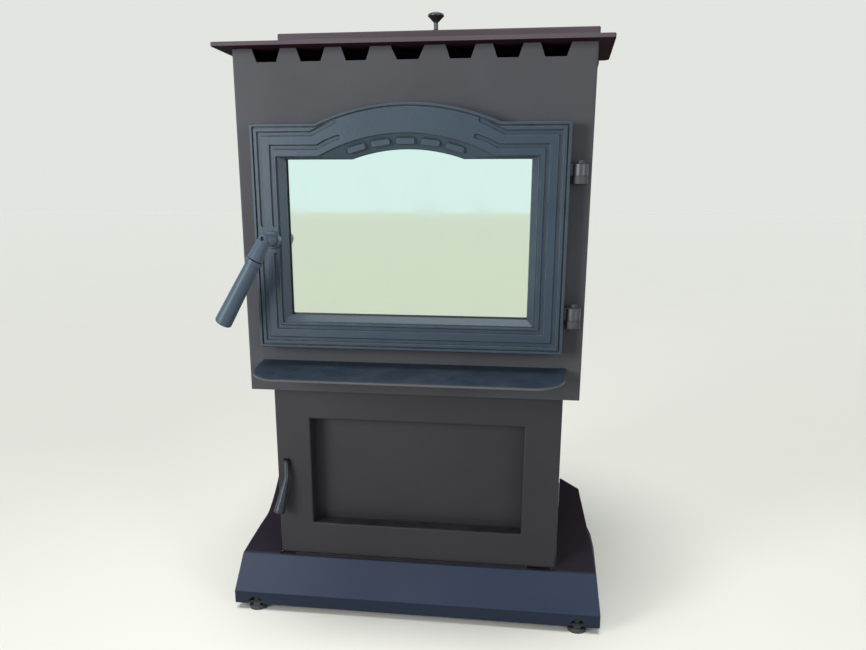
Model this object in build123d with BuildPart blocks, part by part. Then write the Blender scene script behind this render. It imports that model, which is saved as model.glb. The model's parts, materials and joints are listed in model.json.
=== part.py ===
from build123d import *
import math
import os

os.makedirs("parts", exist_ok=True)

# Pellet stove on a pedestal. Millimetres, +Z up, the front looks along -Y.
# Every piece is drawn with y counted from the body's front face, then saved moved forward
# by depth_middle, which puts the origin on the floor under the middle of the whole stove.
depth_middle = 276.1

# Body box
body_half = 260.0
body_bottom = 396.0
body_top = 894.4
body_rear = 560.0
front_sheet = 4.0
sheet = 3.0

# Top
plate_half = 281.5
plate_front = -27.6
plate_rear = 166.0
plate_top = 900.0
lid_half = 269.5
lid_front = 241.0
lid_rear = 548.0
lid_bottom = 903.0
lid_top = 957.0

# Fire door: straight sides, a flat shoulder and a shallow arch over it
door_half = 230.0
door_bottom = 469.5
door_shoulder = 791.5
door_arch_radius = 340.0
door_arch_centre = 478.5
door_back = 8.0
door_front = 30.0
window_middle = -1.9
window_half = 178.8
window_bottom = 519.3
window_shoulder = 743.5
window_arch_radius = 253.0
window_arch_centre = 504.0
hinge_x = 244.0
hinge_y = -16.0

# Fire door handle
latch_x = -202.0
latch_z = 630.0

# Pedestal and ash door
ash_door_half = 235.8
ash_door_bottom = 99.3
ash_door_top = 389.0
ash_door_front = 39.0
ash_door_back = 69.0
pedestal_half = 233.0
pedestal_front = 76.0
pedestal_rear = 540.0
ash_latch_x = -219.0
ash_latch_z = 264.0
ash_hinge_x = 231.5
ash_hinge_y = 44.5

# Base
base_half = 313.6
lip_bottom = 12.0
foot_x = 277.0
foot_front_y = 19.0
foot_rear_y = 545.0

# Feed auger and blowers
auger_z = 520.0
exhaust_x = 170.0
exhaust_z = 500.0
flue_x = 108.0
flue_z = 443.0
intake_x = -75.0
intake_z = 440.0
fan_y = 470.0
fan_z = 475.0


def front(distance):
    """Plane parallel to the front face, this far ahead of it, drawn in x and z."""
    return Plane.XZ.offset(distance)


def block(x0, x1, y0, y1, z0, z1, mode=Mode.ADD):
    with Locations(((x0 + x1) / 2, (y0 + y1) / 2, (z0 + z1) / 2)):
        Box(x1 - x0, y1 - y0, z1 - z0, mode=mode)


def rod(radius, start, end, mode=Mode.ADD, end_radius=None):
    axis = Vector(*end) - Vector(*start)
    with Locations(Plane(origin=start, z_dir=axis)):
        if end_radius is None:
            Cylinder(radius, axis.length, align=(Align.CENTER, Align.CENTER, Align.MIN), mode=mode)
        else:
            Cone(radius, end_radius, axis.length, align=(Align.CENTER, Align.CENTER, Align.MIN), mode=mode)


def plate(x0, x1, y0, y1, z0, z1):
    # One flat plate on its own, for a piece that is welded up from several
    with BuildPart() as made:
        block(x0, x1, y0, y1, z0, z1)
    return made.part.solid()


def save_welded(solids, name):
    placed = Compound(solids).moved(Location((0, -depth_middle, 0)))
    placed.label = name
    export_step(placed, f"parts/{name}.step")


def save(made, name):
    placed = made.part.moved(Location((0, -depth_middle, 0)))
    placed.label = name
    export_step(placed, f"parts/{name}.step")


# ---------------------------------------------------------------- body shell

firebox_door_half = 209.5
firebox_door_bottom = 489.0
firebox_door_top = 772.0
louvre_bottom = 876.5
louvre_middle = -3.0
louvre_steps = (-206.1, -140.4, -74.4, 0.0, 74.4, 140.4, 206.1)

with BuildPart() as front_panel:
    with BuildSketch(front(0)):
        with Locations((0, (body_bottom + body_top) / 2)):
            Rectangle(2 * body_half, body_top - body_bottom)
        with Locations((0, (firebox_door_bottom + firebox_door_top) / 2)):
            Rectangle(2 * firebox_door_half, firebox_door_top - firebox_door_bottom, mode=Mode.SUBTRACT)
        for step in louvre_steps:
            top_half = 24.8 if step == 0 else 21.6
            bottom_half = 15.2 if step == 0 else 14.7
            middle = louvre_middle + step
            with BuildLine():
                Polyline(
                    (middle - bottom_half, louvre_bottom),
                    (middle + bottom_half, louvre_bottom),
                    (middle + top_half, body_top + 1),
                    (middle - top_half, body_top + 1),
                    close=True,
                )
            make_face(mode=Mode.SUBTRACT)
    extrude(amount=-front_sheet)
    corner_edges = front_panel.edges().filter_by(Axis.Z).filter_by_position(Axis.Y, -0.01, 0.01)
    outer_edges = [edge for edge in corner_edges if abs(abs(edge.center().X) - body_half) < 0.01]
    fillet(outer_edges, 3)
save(front_panel, "front_panel")

control_front = 430.0
control_rear = 510.0
control_bottom = 660.0
control_top = 800.0

with BuildPart() as left_side_panel:
    block(-body_half, -body_half + sheet, front_sheet, body_rear - sheet, body_bottom, body_top)
    block(
        -body_half - 1, -body_half + sheet + 1, control_front, control_rear,
        control_bottom, control_top, Mode.SUBTRACT,
    )
save(left_side_panel, "left_side_panel")

with BuildPart() as right_side_panel:
    block(body_half - sheet, body_half, front_sheet, body_rear - sheet, body_bottom, body_top)
save(right_side_panel, "right_side_panel")

collar_radius = 38.1
intake_radius = 30.15

grille_x = -190.0
grille_z = 475.0

with BuildPart() as rear_sheet:
    block(-body_half, body_half, body_rear - sheet, body_rear, body_bottom, body_top)
    rod(collar_radius, (flue_x, body_rear - 10, flue_z), (flue_x, body_rear + 10, flue_z), Mode.SUBTRACT)
    rod(intake_radius, (intake_x, body_rear - 10, intake_z), (intake_x, body_rear + 10, intake_z), Mode.SUBTRACT)
    block(-241, -209, body_rear - 10, body_rear + 10, 604, 632, Mode.SUBTRACT)
    block(
        grille_x - 58, grille_x + 58, body_rear - 10, body_rear + 10,
        grille_z - 66, grille_z + 66, Mode.SUBTRACT,
    )

with BuildPart() as air_grille:
    block(grille_x - 58, grille_x + 58, body_rear - sheet, body_rear, grille_z - 66, grille_z + 66)
    with BuildSketch(Plane.XZ.offset(-body_rear)):
        with Locations((grille_x, grille_z)):
            with GridLocations(0, 13, 1, 9):
                SlotOverall(100, 6)
    extrude(amount=10, both=True, mode=Mode.SUBTRACT)
save_welded([rear_sheet.part.solid(), air_grille.part.solid()], "rear_panel")

chute_half = 150.0
chute_front = 112.0
chute_rear = 236.0

with BuildPart() as body_floor:
    block(-body_half + sheet, body_half - sheet, front_sheet, body_rear - sheet, body_bottom, body_bottom + sheet)
    block(-chute_half, chute_half, chute_front, chute_rear, body_bottom - 5, body_bottom + 10, Mode.SUBTRACT)
    rod(3, (ash_hinge_x, ash_hinge_y, body_bottom - 1), (ash_hinge_x, ash_hinge_y, body_bottom + 5), Mode.SUBTRACT)
save(body_floor, "body_floor")

with BuildPart() as top_plate:
    block(-plate_half, plate_half, plate_front, plate_rear, body_top, plate_top)
    fillet(top_plate.edges().filter_by(Axis.Z).group_by(Axis.Y)[0], 4)
    fillet(top_plate.edges().filter_by(Axis.Z).group_by(Axis.Y)[-1], 12)
    fillet(top_plate.faces().sort_by(Axis.Z)[-1].edges(), 1.2)
save(top_plate, "top_plate")

# Deck behind the top plate, with the hopper's raised collar
hopper_half = 232.0
hopper_front = 256.0
hopper_rear = 533.0
collar_top = 944.0

deck_top = body_top + sheet

with BuildPart() as deck_sheet:
    block(-body_half, body_half, plate_rear, body_rear, body_top, deck_top)
    block(
        -hopper_half + sheet, hopper_half - sheet, hopper_front + sheet, hopper_rear - sheet,
        body_top - 1, deck_top + 1, Mode.SUBTRACT,
    )
collar_plates = [
    plate(-hopper_half, hopper_half, hopper_front, hopper_front + sheet, deck_top, collar_top),
    plate(-hopper_half, hopper_half, hopper_rear - sheet, hopper_rear, deck_top, collar_top),
    plate(-hopper_half, -hopper_half + sheet, hopper_front + sheet, hopper_rear - sheet, deck_top, collar_top),
    plate(hopper_half - sheet, hopper_half, hopper_front + sheet, hopper_rear - sheet, deck_top, collar_top),
]
save_welded([deck_sheet.part.solid()] + collar_plates, "rear_deck")

# ---------------------------------------------------------------- hopper

funnel_bottom = 590.0
throat_half = 40.0
throat_y = 440.0
hopper_y = (hopper_front + hopper_rear) / 2
hopper_length = hopper_rear - hopper_front

# Each wall: its rectangle at the top and at the bottom, as x0, x1, y0, y1
inner_half = hopper_half - sheet
inner_front = hopper_front + sheet
inner_rear = hopper_rear - sheet
throat_inner = throat_half - sheet
throat_front = throat_y - throat_half
throat_rear = throat_y + throat_half
funnel_walls = (
    (
        (-hopper_half, hopper_half, hopper_front, inner_front),
        (-throat_half, throat_half, throat_front, throat_front + sheet),
    ),
    (
        (-hopper_half, hopper_half, inner_rear, hopper_rear),
        (-throat_half, throat_half, throat_rear - sheet, throat_rear),
    ),
    (
        (inner_half, hopper_half, inner_front, inner_rear),
        (throat_inner, throat_half, throat_front + sheet, throat_rear - sheet),
    ),
    (
        (-hopper_half, -inner_half, inner_front, inner_rear),
        (-throat_half, -throat_inner, throat_front + sheet, throat_rear - sheet),
    ),
)


def funnel_wall(above, below):
    with BuildPart() as wall:
        ends = []
        for (x0, x1, y0, y1), height in ((above, body_top), (below, funnel_bottom)):
            with BuildSketch(Plane.XY.offset(height)) as end:
                with Locations(((x0 + x1) / 2, (y0 + y1) / 2)):
                    Rectangle(x1 - x0, y1 - y0)
            ends.append(end.sketch)
        loft(sections=[end.face() for end in ends], ruled=True)
    return wall.part.solid()


save_welded([funnel_wall(above, below) for above, below in funnel_walls], "hopper_funnel")

with BuildPart() as lid_gasket:
    block(-hopper_half - 2, hopper_half + 2, hopper_front - 2, hopper_rear + 2, collar_top, 953.5)
    block(-hopper_half + 5, hopper_half - 5, hopper_front + 5, hopper_rear - 5, collar_top - 1, 955, Mode.SUBTRACT)
save(lid_gasket, "lid_gasket")

with BuildPart() as hopper_lid:
    block(-lid_half, lid_half, lid_front, lid_rear, lid_bottom, lid_top)
    fillet(hopper_lid.edges().filter_by(Axis.Z), 3)
    fillet(hopper_lid.faces().sort_by(Axis.Z)[-1].edges(), 2.5)
    block(
        -lid_half + sheet, lid_half - sheet, lid_front + sheet, lid_rear - sheet,
        lid_bottom - 1, lid_top - sheet, Mode.SUBTRACT,
    )
save(hopper_lid, "hopper_lid")

knob_y = 256.0
knob_rise = 3.2
knob_crown = (12.4**2 + knob_rise**2) / (2 * knob_rise)

with BuildPart() as lid_knob:
    with BuildSketch(Plane.XZ.offset(-knob_y)):
        with BuildLine():
            Polyline((0, lid_top), (7, lid_top), (7, lid_top + 1.5), (3.6, lid_top + 3), (3.6, lid_top + 13))
            Line((3.6, lid_top + 13), (11.5, lid_top + 21))
            ThreePointArc((11.5, lid_top + 21), (13.4, lid_top + 23), (12.4, lid_top + 26))
            RadiusArc((12.4, lid_top + 26), (0, lid_top + 26 + knob_rise), -knob_crown)
            Line((0, lid_top + 26 + knob_rise), (0, lid_top))
        make_face()
    revolve(axis=Axis((0, knob_y, 0), (0, 0, 1)))
save(lid_knob, "lid_knob")

# Two butt hinges behind the lid
lid_pin_y = 554.0
lid_pin_z = 901.4
lid_hinge_x = (-150.0, 150.0)

with BuildPart() as lid_hinge_fixed_leaves:
    for x in lid_hinge_x:
        block(x - 22, x + 22, 549.5, 560, body_top + sheet, body_top + sheet + 1)
        block(x - 6.5, x + 6.5, 550.5, 557.5, body_top + sheet, lid_pin_z)
        rod(3.5, (x - 6.5, lid_pin_y, lid_pin_z), (x + 6.5, lid_pin_y, lid_pin_z))
        rod(2, (x - 7, lid_pin_y, lid_pin_z), (x + 7, lid_pin_y, lid_pin_z), Mode.SUBTRACT)
save(lid_hinge_fixed_leaves, "lid_hinge_fixed_leaves")

with BuildPart() as lid_hinge_moving_leaves:
    for x in lid_hinge_x:
        block(x - 22, x + 22, lid_rear, lid_rear + 2, lid_pin_z + 3, 940)
        for side in (-1, 1):
            low = min(x + side * 7, x + side * 20)
            block(low, low + 13, lid_rear, lid_pin_y, lid_pin_z + 1, lid_pin_z + 3.5)
            rod(2.6, (low, lid_pin_y, lid_pin_z), (low + 13, lid_pin_y, lid_pin_z))
            rod(2.05, (low - 1, lid_pin_y, lid_pin_z), (low + 14, lid_pin_y, lid_pin_z), Mode.SUBTRACT)
save(lid_hinge_moving_leaves, "lid_hinge_moving_leaves")

# ---------------------------------------------------------------- feeder

housing_front = 392.0
housing_back = 488.0
firebox_rear = 255.0
bore_radius = 28.3
flight_radius = 27.6
shaft_radius = 8.0

with BuildPart() as feed_housing:
    block(-42, 42, housing_front, housing_back, auger_z - 40, funnel_bottom)
    rod(31.5, (0, firebox_rear, auger_z), (0, housing_front, auger_z))
    block(-60, 60, 405, 475, body_bottom + sheet, body_bottom + sheet + 6)
    block(-30, 30, 415, 465, body_bottom + sheet, auger_z - 40)
    rod(bore_radius, (0, firebox_rear - 1, auger_z), (0, housing_back - 6, auger_z), Mode.SUBTRACT)
    rod(shaft_radius + 0.05, (0, housing_back - 7, auger_z), (0, housing_back + 1, auger_z), Mode.SUBTRACT)
    block(-37, 37, throat_y - 37, throat_y + 37, auger_z, funnel_bottom + 1, Mode.SUBTRACT)
save(feed_housing, "feed_housing")

# The auger: a shaft with one helical flight
flight_start = 262.0
flight_length = 216.0
flight_pitch = 48.0
flight_middle = (flight_radius + shaft_radius - 1) / 2

with BuildPart() as auger:
    rod(shaft_radius, (0, flight_start - 6, auger_z), (0, housing_back + 11, auger_z))
    flight_path = Helix(
        pitch=flight_pitch, height=flight_length, radius=flight_middle,
        center=(0, flight_start, auger_z), direction=(0, 1, 0), mode=Mode.PRIVATE,
    )
    radial = Vector(flight_path @ 0) - Vector(0, flight_start, auger_z)
    with BuildSketch(Plane(origin=flight_path @ 0, x_dir=radial, z_dir=flight_path % 0)):
        Rectangle(2 * (flight_radius - flight_middle), 4)
    sweep(path=flight_path, is_frenet=True)
save(auger, "auger")

with BuildPart() as gear_motor:
    block(-46, 46, housing_back, 526, auger_z - 45, auger_z + 45)
    rod(30, (0, 526, auger_z), (0, 553, auger_z))
    rod(shaft_radius + 0.05, (0, housing_back - 1, auger_z), (0, housing_back + 12, auger_z), Mode.SUBTRACT)
save(gear_motor, "gear_motor")

# ---------------------------------------------------------------- firebox

firebox_half = 228.0
firebox_wall = 4.0
firebox_floor = 430.0
firebox_top = 802.0
duct_radius = 34.0

fin_height = 52.0
fin_pitch = 30.0
inside_half = firebox_half - firebox_wall
inside_rear = firebox_rear - firebox_wall
inside_floor = firebox_floor + firebox_wall
inside_top = firebox_top - firebox_wall

with BuildPart() as firebox_rear_plate:
    block(-inside_half, inside_half, inside_rear, firebox_rear, inside_floor, inside_top)
    rod(bore_radius, (0, inside_rear - 1, auger_z), (0, firebox_rear + 1, auger_z), Mode.SUBTRACT)
    rod(duct_radius, (exhaust_x, inside_rear - 1, exhaust_z), (exhaust_x, firebox_rear + 1, exhaust_z), Mode.SUBTRACT)
    rod(27, (intake_x, inside_rear - 1, intake_z + 30), (intake_x, firebox_rear + 1, intake_z + 30), Mode.SUBTRACT)

with BuildPart() as firebox_floor_plate:
    block(-inside_half, inside_half, front_sheet, firebox_rear, firebox_floor, inside_floor)
    block(-chute_half, chute_half, chute_front, chute_rear, firebox_floor - 1, inside_floor + 1, Mode.SUBTRACT)

save_welded(
    [
        firebox_rear_plate.part.solid(),
        firebox_floor_plate.part.solid(),
        plate(-firebox_half, -inside_half, front_sheet, firebox_rear, firebox_floor, firebox_top),
        plate(inside_half, firebox_half, front_sheet, firebox_rear, firebox_floor, firebox_top),
        plate(-inside_half, inside_half, front_sheet, firebox_rear, inside_top, firebox_top),
    ],
    "firebox_shell",
)

# Ash chute between the firebox and the floor of the body
chute_bottom = body_bottom + sheet
save_welded(
    [
        plate(-chute_half - sheet, -chute_half, chute_front, chute_rear, chute_bottom, firebox_floor),
        plate(chute_half, chute_half + sheet, chute_front, chute_rear, chute_bottom, firebox_floor),
        plate(
            -chute_half - sheet, chute_half + sheet, chute_front - sheet, chute_front,
            chute_bottom, firebox_floor,
        ),
        plate(
            -chute_half - sheet, chute_half + sheet, chute_rear, chute_rear + sheet,
            chute_bottom, firebox_floor,
        ),
    ],
    "ash_chute",
)

# Fins on the firebox roof, where the room air takes up the heat
fin_columns = [fin_pitch * (column - 7) for column in range(15)]
save_welded(
    [plate(x - 1.5, x + 1.5, 30, 240, firebox_top, firebox_top + fin_height) for x in fin_columns],
    "heat_exchanger_fins",
)

pot_half = 62.0
pot_front = 140.0
pot_bottom = 480.0
pot_top = 554.0

with BuildPart() as burn_pot:
    block(-pot_half, pot_half, pot_front, firebox_rear - firebox_wall, pot_bottom, pot_top)
    block(-pot_half - 12, pot_half + 12, pot_front - 4, firebox_rear - firebox_wall, pot_top, pot_top + 6)
    with BuildSketch(Plane.XY.offset(pot_top + 6)):
        with Locations((0, 192)):
            Rectangle(104, 84)
    with BuildSketch(Plane.XY.offset(pot_bottom + 10)):
        with Locations((0, 198)):
            Rectangle(84, 72)
    loft(mode=Mode.SUBTRACT)
    rod(bore_radius, (0, 220, auger_z + 6), (0, 252, auger_z), Mode.SUBTRACT)
    for height in (500, 512, 524):
        for y in (170, 182, 194, 206, 218):
            rod(2.2, (-pot_half - 1, y, height), (pot_half + 1, y, height), Mode.SUBTRACT)
save(burn_pot, "burn_pot")

with BuildPart() as igniter:
    rod(5, (0, 160, pot_bottom - 5.5), (0, firebox_rear - firebox_wall, pot_bottom - 5.5))
    block(-9, 9, firebox_rear - firebox_wall - 3, firebox_rear - firebox_wall, pot_bottom - 14, pot_bottom)
save(igniter, "igniter")

# ---------------------------------------------------------------- exhaust

# Round volute with the outlet box below it, and the duct that leads in from the firebox
with BuildPart() as exhaust_volute:
    rod(66, (exhaust_x, 430, exhaust_z), (exhaust_x, 480, exhaust_z))
    block(66, exhaust_x, 430, 480, 404, 484)
    rod(62, (exhaust_x, 434, exhaust_z), (exhaust_x, 476, exhaust_z), Mode.SUBTRACT)
    block(70, exhaust_x, 434, 476, 408, 480, Mode.SUBTRACT)
    rod(duct_radius, (exhaust_x, 429, exhaust_z), (exhaust_x, 435, exhaust_z), Mode.SUBTRACT)
    rod(collar_radius - 2.1, (flue_x, 470, flue_z), (flue_x, 481, flue_z), Mode.SUBTRACT)
    rod(5.05, (exhaust_x, 475, exhaust_z), (exhaust_x, 481, exhaust_z), Mode.SUBTRACT)

with BuildPart() as exhaust_duct:
    rod(duct_radius + 4, (exhaust_x, firebox_rear, exhaust_z), (exhaust_x, 430, exhaust_z))
    rod(duct_radius, (exhaust_x, firebox_rear - 1, exhaust_z), (exhaust_x, 431, exhaust_z), Mode.SUBTRACT)
save_welded([exhaust_volute.part.solid(), exhaust_duct.part.solid()], "exhaust_blower_housing")

with BuildPart() as exhaust_impeller:
    rod(52, (exhaust_x, 466, exhaust_z), (exhaust_x, 468, exhaust_z))
    rod(14, (exhaust_x, 442, exhaust_z), (exhaust_x, 468, exhaust_z))
    rod(5, (exhaust_x, 466, exhaust_z), (exhaust_x, 492, exhaust_z))
    with Locations(Plane(origin=(exhaust_x, 454, exhaust_z), z_dir=(0, 1, 0))):
        with PolarLocations(32, 8):
            Box(38, 2, 24.5)
save(exhaust_impeller, "exhaust_impeller")

with BuildPart() as exhaust_motor:
    rod(38, (exhaust_x, 480, exhaust_z), (exhaust_x, 548, exhaust_z))
    rod(5.05, (exhaust_x, 479, exhaust_z), (exhaust_x, 493, exhaust_z), Mode.SUBTRACT)
    fillet(exhaust_motor.edges().filter_by(GeomType.CIRCLE).sort_by(Axis.Y)[-1], 6)
save(exhaust_motor, "exhaust_motor")

flue_end = 640.0

with BuildPart() as flue_collar:
    rod(collar_radius, (flue_x, 480, flue_z), (flue_x, flue_end, flue_z))
    rod(collar_radius - 1.5, (flue_x, 479, flue_z), (flue_x, flue_end + 1, flue_z), Mode.SUBTRACT)
    rod(collar_radius + 9, (flue_x, body_rear, flue_z), (flue_x, body_rear + 2, flue_z))
    rod(collar_radius - 1.5, (flue_x, body_rear - 1, flue_z), (flue_x, body_rear + 3, flue_z), Mode.SUBTRACT)
save(flue_collar, "flue_collar")

intake_bend = 290.0


def intake_slope(radius):
    with BuildSketch(Plane.XZ.offset(-firebox_rear)) as inner_end:
        with Locations((intake_x, intake_z + 30)):
            Circle(radius)
    with BuildSketch(Plane.XZ.offset(-intake_bend)) as outer_end:
        with Locations((intake_x, intake_z)):
            Circle(radius)
    return [inner_end.sketch.face(), outer_end.sketch.face()]


with BuildPart() as intake_front_length:
    loft(sections=intake_slope(intake_radius))
    loft(sections=intake_slope(intake_radius - 1.6), mode=Mode.SUBTRACT)

with BuildPart() as intake_rear_length:
    rod(intake_radius, (intake_x, intake_bend, intake_z), (intake_x, 600, intake_z))
    rod(intake_radius + 7, (intake_x, body_rear, intake_z), (intake_x, body_rear + 2, intake_z))
    rod(intake_radius - 1.6, (intake_x, intake_bend - 1, intake_z), (intake_x, 601, intake_z), Mode.SUBTRACT)
save_welded([intake_front_length.part.solid(), intake_rear_length.part.solid()], "air_intake_tube")

# ---------------------------------------------------------------- room blower

with BuildPart() as room_blower_housing:
    rod(64, (-246, fan_y, fan_z), (-142, fan_y, fan_z))
    block(-246, -142, fan_y, fan_y + 64, fan_z, 606)
    block(-246, -142, fan_y - 30, fan_y + 30, body_bottom + sheet, fan_z - 50)
    rod(61, (-243, fan_y, fan_z), (-145, fan_y, fan_z), Mode.SUBTRACT)
    block(-243, -145, fan_y + 3, fan_y + 61, fan_z, 607, Mode.SUBTRACT)
    # Air inlets in both ends
    rod(34, (-247, fan_y, fan_z), (-242, fan_y, fan_z), Mode.SUBTRACT)
    rod(4.05, (-146, fan_y, fan_z), (-141, fan_y, fan_z), Mode.SUBTRACT)
save(room_blower_housing, "room_blower_housing")

with BuildPart() as room_blower_wheel:
    rod(48, (-152, fan_y, fan_z), (-150, fan_y, fan_z))
    rod(4, (-200, fan_y, fan_z), (-128, fan_y, fan_z))
    rod(10, (-170, fan_y, fan_z), (-150, fan_y, fan_z))
    with Locations(Plane(origin=(-193, fan_y, fan_z), z_dir=(1, 0, 0))):
        with PolarLocations(44, 24):
            Box(8, 1.5, 84)
    rod(48, (-236, fan_y, fan_z), (-234, fan_y, fan_z))
    rod(40, (-237, fan_y, fan_z), (-233, fan_y, fan_z), Mode.SUBTRACT)
save(room_blower_wheel, "room_blower_wheel")

with BuildPart() as room_blower_motor:
    rod(27, (-142, fan_y, fan_z), (-110, fan_y, fan_z))
    rod(4.05, (-143, fan_y, fan_z), (-127, fan_y, fan_z), Mode.SUBTRACT)
save(room_blower_motor, "room_blower_motor")

# ---------------------------------------------------------------- controls

dial_y = 470.0
feed_dial_z = 760.0
temperature_dial_z = 700.0
dial_face = -body_half - 2.4
spindle_radius = 3.0

with BuildPart() as control_module:
    block(-body_half - 2, -body_half, control_front - 10, control_rear + 10, control_bottom - 10, control_top + 10)
    fillet(control_module.edges().filter_by(Axis.X), 5)
    block(-body_half, -222, control_front, control_rear, control_bottom, control_top)
    for height in (feed_dial_z, temperature_dial_z):
        rod(
            spindle_radius + 0.05, (-body_half - 3, dial_y, height), (-body_half + 16, dial_y, height),
            Mode.SUBTRACT,
        )
save(control_module, "control_module")


def dial(height):
    """Tapered knob with a raised pointer, on a spindle that turns in the control module."""
    rod(17, (dial_face, dial_y, height), (dial_face - 16, dial_y, height), end_radius=15)
    block(dial_face - 17.6, dial_face - 14, dial_y - 1.5, dial_y + 1.5, height - 2, height + 14)
    rod(spindle_radius, (dial_face, dial_y, height), (dial_face + 16, dial_y, height))


with BuildPart() as feed_dial:
    dial(feed_dial_z)
save(feed_dial, "feed_dial")

with BuildPart() as temperature_dial:
    dial(temperature_dial_z)
save(temperature_dial, "temperature_dial")

with BuildPart() as power_inlet:
    block(-241, -209, 535, body_rear, 604, 632)
    block(-246, -204, body_rear, body_rear + 3, 600, 636)
    block(-237, -213, 545, body_rear + 4, 608, 628, Mode.SUBTRACT)
    with Locations((-232, 550, 616), (-225, 550, 621), (-218, 550, 616)):
        Box(2, 14, 4)
save(power_inlet, "power_inlet")

# ---------------------------------------------------------------- fire door


def door_outline(inset, mode=Mode.ADD):
    """Outline of the door's face, drawn in from its edge by the same inset all round."""
    half = door_half - inset
    bottom = door_bottom + inset
    shoulder = door_shoulder - inset
    radius = door_arch_radius - inset
    spring = math.sqrt(radius**2 - (shoulder - door_arch_centre) ** 2)
    with BuildLine() as outline:
        Polyline((-spring, shoulder), (-half, shoulder), (-half, bottom), (half, bottom), (half, shoulder))
        Line((half, shoulder), (spring, shoulder))
        ThreePointArc((spring, shoulder), (0, door_arch_centre + radius), (-spring, shoulder))
    make_face(outline.edges(), mode=mode)


def window_outline(growth, shoulder, radius, centre):
    """Outline of the glass opening, grown at its sides and bottom, with its own shoulder and arch."""
    bottom = window_bottom - growth
    left = window_middle - window_half - growth
    right = window_middle + window_half + growth
    half_span = math.sqrt(radius**2 - (shoulder - centre) ** 2)
    arch_left = window_middle - half_span
    arch_right = window_middle + half_span
    with BuildLine() as outline:
        Polyline((arch_left, shoulder), (left, shoulder), (left, bottom), (right, bottom), (right, shoulder))
        Line((right, shoulder), (arch_right, shoulder))
        ThreePointArc((arch_right, shoulder), (window_middle, centre + radius), (arch_left, shoulder))
    make_face(outline.edges())


def glass_opening():
    window_outline(0, window_shoulder, window_arch_radius, window_arch_centre)


rope_half = 220.5
rope_bottom = 477.0
rope_top = 784.5
rope_width = 10.0
groove_depth = 2.6
flute_width = 6.8
flute_depth = 2.4
flute_slope = 24.0
# Each flute: inset of its centre line, and the points of its turned-up end from the inside out
flute_turns = (
    (14.2, ((104.5, 793.5), (139.0, 777.3))),
    (32.2, ((98.5, 772.2), (105.0, 770.5), (119.0, 765.0), (129.5, 759.3))),
)
band_radius = 275.8
band_centre = 502.2
pocket_half = 186.0
pad_top = 652.0
pad_bottom = 608.0
knuckle_radius = 10.5
pin_radius = 4.0
# Each hinge: bottom of the fixed lug, gap, top of the door's knuckle
hinge_levels = ((709.8, 720.0, 736.0), (508.2, 519.5, 537.0))

with BuildPart() as door_casting:
    with BuildSketch(front(door_back)):
        door_outline(0)
    extrude(amount=door_front - door_back - 2)
    with BuildSketch(front(door_front - 2)):
        door_outline(0)
    extrude(amount=2, taper=30)
    # Cast ears for the hinges
    for lug_bottom, split, top in hinge_levels:
        block(door_half - 3, hinge_x, -19, -door_back - 0.5, split + 0.4, top)
        rod(knuckle_radius, (hinge_x, hinge_y, split + 0.4), (hinge_x, hinge_y, top))
        rod(pin_radius + 0.05, (hinge_x, hinge_y, split - 1), (hinge_x, hinge_y, top + 1), Mode.SUBTRACT)
    # Frame round the window: a sunk step, then a bevel that widens into a cove under the arch
    with BuildSketch(front(door_front)):
        window_outline(11.5, 747, band_radius, band_centre)
    extrude(amount=-3, mode=Mode.SUBTRACT)
    with BuildSketch(front(door_front - 3)):
        window_outline(9, 746.6, band_radius - 0.4, band_centre)
    with BuildSketch(front(19)):
        glass_opening()
    loft(mode=Mode.SUBTRACT)
    with BuildSketch(front(door_front)):
        glass_opening()
    extrude(amount=-door_front, mode=Mode.SUBTRACT)
    # Deep groove that follows the whole rim
    with BuildSketch(front(door_front)):
        door_outline(4.2)
        door_outline(6.4, mode=Mode.SUBTRACT)
    extrude(amount=-groove_depth, mode=Mode.SUBTRACT)
    # Flutes: they turn up beside the arch and stop at the handle's pad
    for inset, turn in flute_turns:
        side = door_half - inset
        low = door_bottom + inset
        shoulder = door_shoulder - inset
        upper_left = [(-x, z) for x, z in turn] + [(-side, shoulder), (-side, pad_top)]
        rest = [(-side, pad_bottom), (-side, low), (side, low), (side, shoulder)] + list(reversed(turn))
        for path in (upper_left, rest):
            with BuildSketch(front(door_front)):
                with BuildLine():
                    Polyline(*path)
                    offset(amount=flute_width / 2, side=Side.BOTH, kind=Kind.INTERSECTION)
                make_face()
                with Locations(path[0], path[-1]):
                    Circle(flute_width / 2)
            extrude(amount=-flute_depth, taper=flute_slope, mode=Mode.SUBTRACT)
    # Row of raised blocks over the window's arch
    for turn in (-15.6, -7.8, 0, 7.8, 15.6):
        with BuildSketch(front(19)):
            with Locations(Location((window_middle, window_arch_centre), turn)):
                with Locations((0, 263)):
                    RectangleRounded(26, 8, 2.5)
        extrude(amount=8.5)
    # Back: pocket for the glass, channel for the rope, bore for the latch
    with BuildSketch(front(door_back)):
        with Locations((window_middle, (511 + 768) / 2)):
            Rectangle(2 * pocket_half, 768 - 511)
    extrude(amount=7, mode=Mode.SUBTRACT)
    with BuildSketch(front(door_back)):
        with Locations((0, (rope_bottom + rope_top) / 2)):
            RectangleRounded(2 * rope_half, rope_top - rope_bottom, 14)
            RectangleRounded(
                2 * (rope_half - rope_width), rope_top - rope_bottom - 2 * rope_width, 5, mode=Mode.SUBTRACT
            )
    extrude(amount=4, mode=Mode.SUBTRACT)
    rod(5.05, (latch_x, 0, latch_z), (latch_x, -40, latch_z), Mode.SUBTRACT)
save(door_casting, "door_casting")

pocket_left = window_middle - pocket_half
pocket_right = window_middle + pocket_half

with BuildPart() as door_glass:
    block(pocket_left + 1, pocket_right - 1, -13, -8, 512, 767)
save(door_glass, "door_glass")

with BuildPart() as glass_gasket:
    block(pocket_left, pocket_right, -15, -13, 511, 768)
    block(pocket_left + 5, pocket_right - 5, -16, -12, 517, 762, Mode.SUBTRACT)
save(glass_gasket, "glass_gasket")

clip_screw_radius = 2.5
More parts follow.
